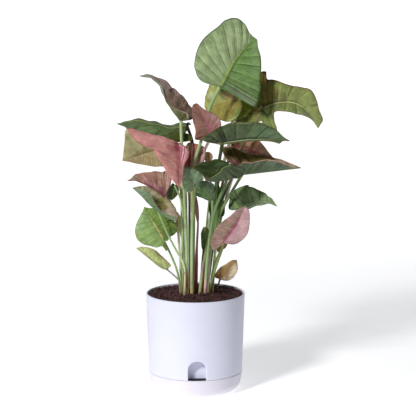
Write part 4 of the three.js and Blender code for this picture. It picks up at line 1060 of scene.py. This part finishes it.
def niche_tool(name, grow, bottom, lip, material):
    """The arch of the niche as a solid from the back of the niche to the outside. A lip rounds its edge."""
    half_width = NICHE_WIDTH / 2 + grow
    shoulder = SEAM_HEIGHT + NICHE_HEIGHT - NICHE_WIDTH / 2
    waist = (bottom + shoulder) / 2
    arch = [(-half_width, bottom), (half_width, bottom), (half_width, waist)]
    arch += arc((0, shoulder), half_width, 0, 180, 32) + [(-half_width, waist)]
    back = NICHE_DEPTH + grow
    depths = [(back, 0.0)]
    if lip:
        depths += [(lip * (1 - math.sin(t)), lip * (1 - math.cos(t))) for t in np.linspace(0, math.pi / 2, 7)]
    depths += [(-6.0, lip)]
    points = []
    c, s = math.cos(NICHE_TURN), math.sin(NICHE_TURN)
    for depth, flare in depths:
        for x, z in arch:
            out = unit(np.array([x, max(0.0, z - shoulder)]) + 1e-9) * flare
            if depth == back:
                y = depth - SEAM_RADIUS
            else:
                y = depth - math.sqrt(shell_radius(max(z, SEAM_HEIGHT)) ** 2 - x * x)
            points.append((c * (x + out[0]) - s * y, s * (x + out[0]) + c * y, z + out[1]))
    count = len(arch)
    outer = (len(depths) - 1) * count
    faces = [tuple(range(count))[::-1]]
    for k in range(len(depths) - 1):
        faces += band(k * count, (k + 1) * count, count)
    faces += [tuple(outer + i for i in range(count))]
    return make_object(name, points, faces, [material])


def sharpen(thing):
    """Hard edges where the surface turns by more than SHARP_ANGLE."""
    thing.data.set_sharp_from_angle(angle=SHARP_ANGLE)


def make_shell():
    """Outer wall, skirt, raised floor, hollow foot and the walled niche."""
    plastic_white = plastic("shell_plastic", "#e0e2f3", "#dcdef0")
    inner = SEAM_RADIUS - WALL
    skirt = inner - GAP
    skirt_end = SEAM_HEIGHT - SKIRT_DEPTH
    underside = FLOOR_HEIGHT - FLOOR_THICKNESS
    foot_end = TRAY_FLOOR + GAP
    profile = [(0, skirt_end), (skirt - 0.4, skirt_end), (skirt, skirt_end + 0.4), (skirt, SEAM_HEIGHT)]
    profile += arc((SEAM_RADIUS - 0.5, SEAM_HEIGHT + 0.5), 0.5, -90, 0, 4)
    profile += [(shell_radius(h), h) for h in np.linspace(SEAM_HEIGHT + 4, POT_HEIGHT - 3, 12)]
    profile += arc((RIM_RADIUS - 0.9, POT_HEIGHT - 0.9), 0.9, 0, 180, 12)
    profile += [(RIM_RADIUS - WALL, POT_HEIGHT - 4), (inner, FLOOR_HEIGHT + 3), (inner - 3, FLOOR_HEIGHT)]
    shell = lathe("planter_shell_skin", profile + [(0, FLOOR_HEIGHT)], plastic_white)

    def drum(name, low, high, low_radius, high_radius, sides=LATHE_SIDES):
        """A solid cone between two heights."""
        ends = [(0, low), (low_radius, low), (high_radius, high), (0, high)]
        return lathe(name, ends, plastic_white, sides)

    cut(shell, drum("under", skirt_end - 1, underside, skirt - WALL, skirt - WALL))
    cut(shell, drum("foot", foot_end, FLOOR_HEIGHT - 1, FOOT_RADIUS - 1, FOOT_RADIUS, FOOT_SIDES), "UNION")
    hollow = FOOT_RADIUS - FOOT_WALL
    cut(shell, drum("well", foot_end + FOOT_WALL, FLOOR_HEIGHT + 1, hollow - 1, hollow, FOOT_SIDES))
    wall = niche_tool("niche_wall", WALL, underside, 0.0, plastic_white)
    inside = drum("inside_only", 10, 60, shell_radius(SEAM_HEIGHT) - 0.9, shell_radius(60) - 0.9)
    cut(wall, inside, "INTERSECT")
    cut(shell, wall, "UNION")
    cut(shell, niche_tool("niche", 0, skirt_end - 2, 0.9, plastic_white))
    sharpen(shell)
    return shell


def make_tray():
    """A bowl with a recess under its base and a round corner at its foot."""
    inner = SEAM_RADIUS - TRAY_WALL + 0.2
    top = SEAM_HEIGHT - GAP
    base, corner = TRAY_BASE_RADIUS, TRAY_CORNER
    profile = [(0, 0.6), (base - 6, 0.6), (base - 5, 0)]
    turns = np.linspace(0, math.pi / 2, 20)
    profile += [(base + 11.8 * math.sin(t), corner - corner * math.cos(t)) for t in turns]
    profile += [(SEAM_RADIUS - 0.1, top - 3)]
    profile += arc((SEAM_RADIUS - 0.4, top - 0.4), 0.4, 0, 90, 4)
    profile += [(inner, top), (inner, corner)]
    turns = np.linspace(0.1, math.pi / 2, 10)
    profile += [(base + (inner - base) * math.cos(t), corner - 10 * math.sin(t)) for t in turns]
    profile += [(0, TRAY_FLOOR)]
    tray = lathe("water_tray_skin", profile, plastic("tray_plastic", "#e6e2ed", "#e2deea"))
    sharpen(tray)
    return tray


finish_piece(make_shell(), "planter_shell")
finish_piece(make_tray(), "water_tray")


# Soil


def value_noise(x, y, seed):
    """Smooth noise between -1 and 1 on a grid with cells of one unit."""

    def lattice(i, j):
        n = np.sin(i * 127.1 + j * 311.7 + seed * 74.7) * 43758.5453
        return (n - np.floor(n)) * 2 - 1

    i, j = np.floor(x), np.floor(y)
    fx, fy = bell(x - i, 0, 1), bell(y - j, 0, 1)
    low = lattice(i, j) * (1 - fx) + lattice(i + 1, j) * fx
    high = lattice(i, j + 1) * (1 - fx) + lattice(i + 1, j + 1) * fx
    return low * (1 - fy) + high * fy


def soil_height(x, y):
    """Height of the soil at a place, in millimetres."""
    rise = np.interp(np.hypot(x, y), (0, 12, 30, 53), (SOIL_CROWN, SOIL_CROWN, SOIL_EDGE + 2, SOIL_EDGE))
    rough = 0.9 * value_noise(x / 7, y / 7, 1) + 0.8 * value_noise(x / 2.6, y / 2.6, 2)
    rough = rough + 0.45 * value_noise(x / 1.2, y / 1.2, 3)
    heap = 2.5 * np.exp(-(((x - 20) / 9) ** 2 + ((y - 6) / 9) ** 2))
    return float(rise + rough - 0.6 + heap)


def soil_crumbs(material):
    """Loose crumbs of many shapes, strewn over the soil."""
    crumbs = bmesh.new()
    for _ in range(CRUMB_COUNT):
        far = CRUMB_REACH * math.sqrt(random.random())
        angle = random.random() * 2 * math.pi
        x, y = far * math.cos(angle), far * math.sin(angle)
        size = random.uniform(0.6, 1.5) * (1.5 if random.random() < 0.15 else 1)
        made = bmesh.ops.create_icosphere(crumbs, subdivisions=1, radius=size * MM)
        centre = Vector((x, y, soil_height(x, y) + 0.25 * size)) * MM
        stretch = Vector([random.uniform(0.7, 1.4) for _ in range(3)])
        shape = random.random() * 10
        for vertex in made["verts"]:
            across, along = vertex.co.x / MM, vertex.co.y / MM
            dent = 1 + 0.22 * math.sin(across * 3.1 + shape) * math.cos(along * 2.7 + shape * 2)
            vertex.co = vertex.co * stretch * dent + centre
    mesh = bpy.data.meshes.new("soil_crumbs")
    crumbs.to_mesh(mesh)
    crumbs.free()
    mesh.materials.append(material)
    mesh.shade_smooth()
    return add_object("soil_crumbs", mesh)


def make_soil(rings=96, sides=300):
    """Rough ground that fills the shell down to its floor, with crumbs on it."""
    material = soil_surface()
    rim = shell_radius(SOIL_EDGE) - WALL - 0.15
    bottom = SEAM_RADIUS - WALL - GAP
    points = []
    for radius in np.sqrt(np.linspace(0, 1, rings + 1)) * rim:
        for angle in circle(sides):
            x, y = radius * math.cos(angle), radius * math.sin(angle)
            points.append((x, y, soil_height(x, y)))
    for radius, height in ((rim - 1.5, 90), (bottom, FLOOR_HEIGHT + 4), (bottom - 3, FLOOR_HEIGHT + GAP)):
        points += [(radius * math.cos(a), radius * math.sin(a), height) for a in circle(sides)]
    faces = []
    for k in range(rings + 3):
        faces += band(k * sides, (k + 1) * sides, sides, outward=False)
    faces += [tuple((rings + 3) * sides + i for i in range(sides))[::-1]]
    ground = make_object("soil_ground", points, faces, [material])
    cut(ground, niche_tool("niche_clear", WALL + GAP, SEAM_HEIGHT - 4, 0.0, material))
    return join([ground, soil_crumbs(material)], "soil_mix")


finish_piece(make_soil(), "soil")


# Floor, lights and camera


def make_sweep():
    """A pale seamless paper sweep: floor, curve and wall."""
    half_width, wall_place, curve, height = 700, 1200, 300, 800
    profile = [(-450, 0), (wall_place - curve, 0)]
    for t in np.linspace(0.1, math.pi / 2, 16):
        profile.append((wall_place - curve + curve * math.sin(t), curve - curve * math.cos(t)))
    profile.append((wall_place, height))
    points = [(x, y, z) for y, z in profile for x in (-half_width, half_width)]
    faces = [(k, k + 1, k + 3, k + 2) for k in range(0, len(points) - 2, 2)]
    return make_object("sweep", points, faces, [paper_surface()])


make_sweep()


key_data = bpy.data.lights.new("key", "AREA")
key_data.shape = "DISK"
key_data.size = 0.35
key_data.energy = 30
key_data.color = (1, 0.99, 0.97)
key = add_object("key", key_data)
key.location = (-0.94, -1.34, 1.15)
key.rotation_euler = (Vector((0, 0, 0.2)) - key.location).to_track_quat("-Z", "Y").to_euler()

world = bpy.data.worlds.new("studio")
world.use_nodes = True
studio = world.node_tree.nodes
fill = studio["Background"]
fill.inputs["Color"].default_value = (0.85, 0.9, 1.0, 1)
fill.inputs["Strength"].default_value = 0.15
surround = studio.new("ShaderNodeBackground")  # what the lens sees past the paper
surround.inputs["Color"].default_value = (0.6, 0.61, 0.63, 1)
seen = studio.new("ShaderNodeLightPath").outputs["Is Camera Ray"]
mix_surfaces(world.node_tree, seen, fill, surround, "World Output")
bpy.context.scene.world = world
bpy.context.scene.view_settings.view_transform = "Standard"

CAMERA_DIP = 8.4  # degrees below the horizon
camera_data = bpy.data.cameras.new("camera")
camera_data.sensor_width = 36
camera_data.lens = 116.8
camera_data.clip_end = 50
camera = add_object("camera", camera_data)
camera.location = (0.0142, -1.5, 0.429)
camera.rotation_euler = (math.radians(90 - CAMERA_DIP), 0, 0)
bpy.context.scene.camera = camera
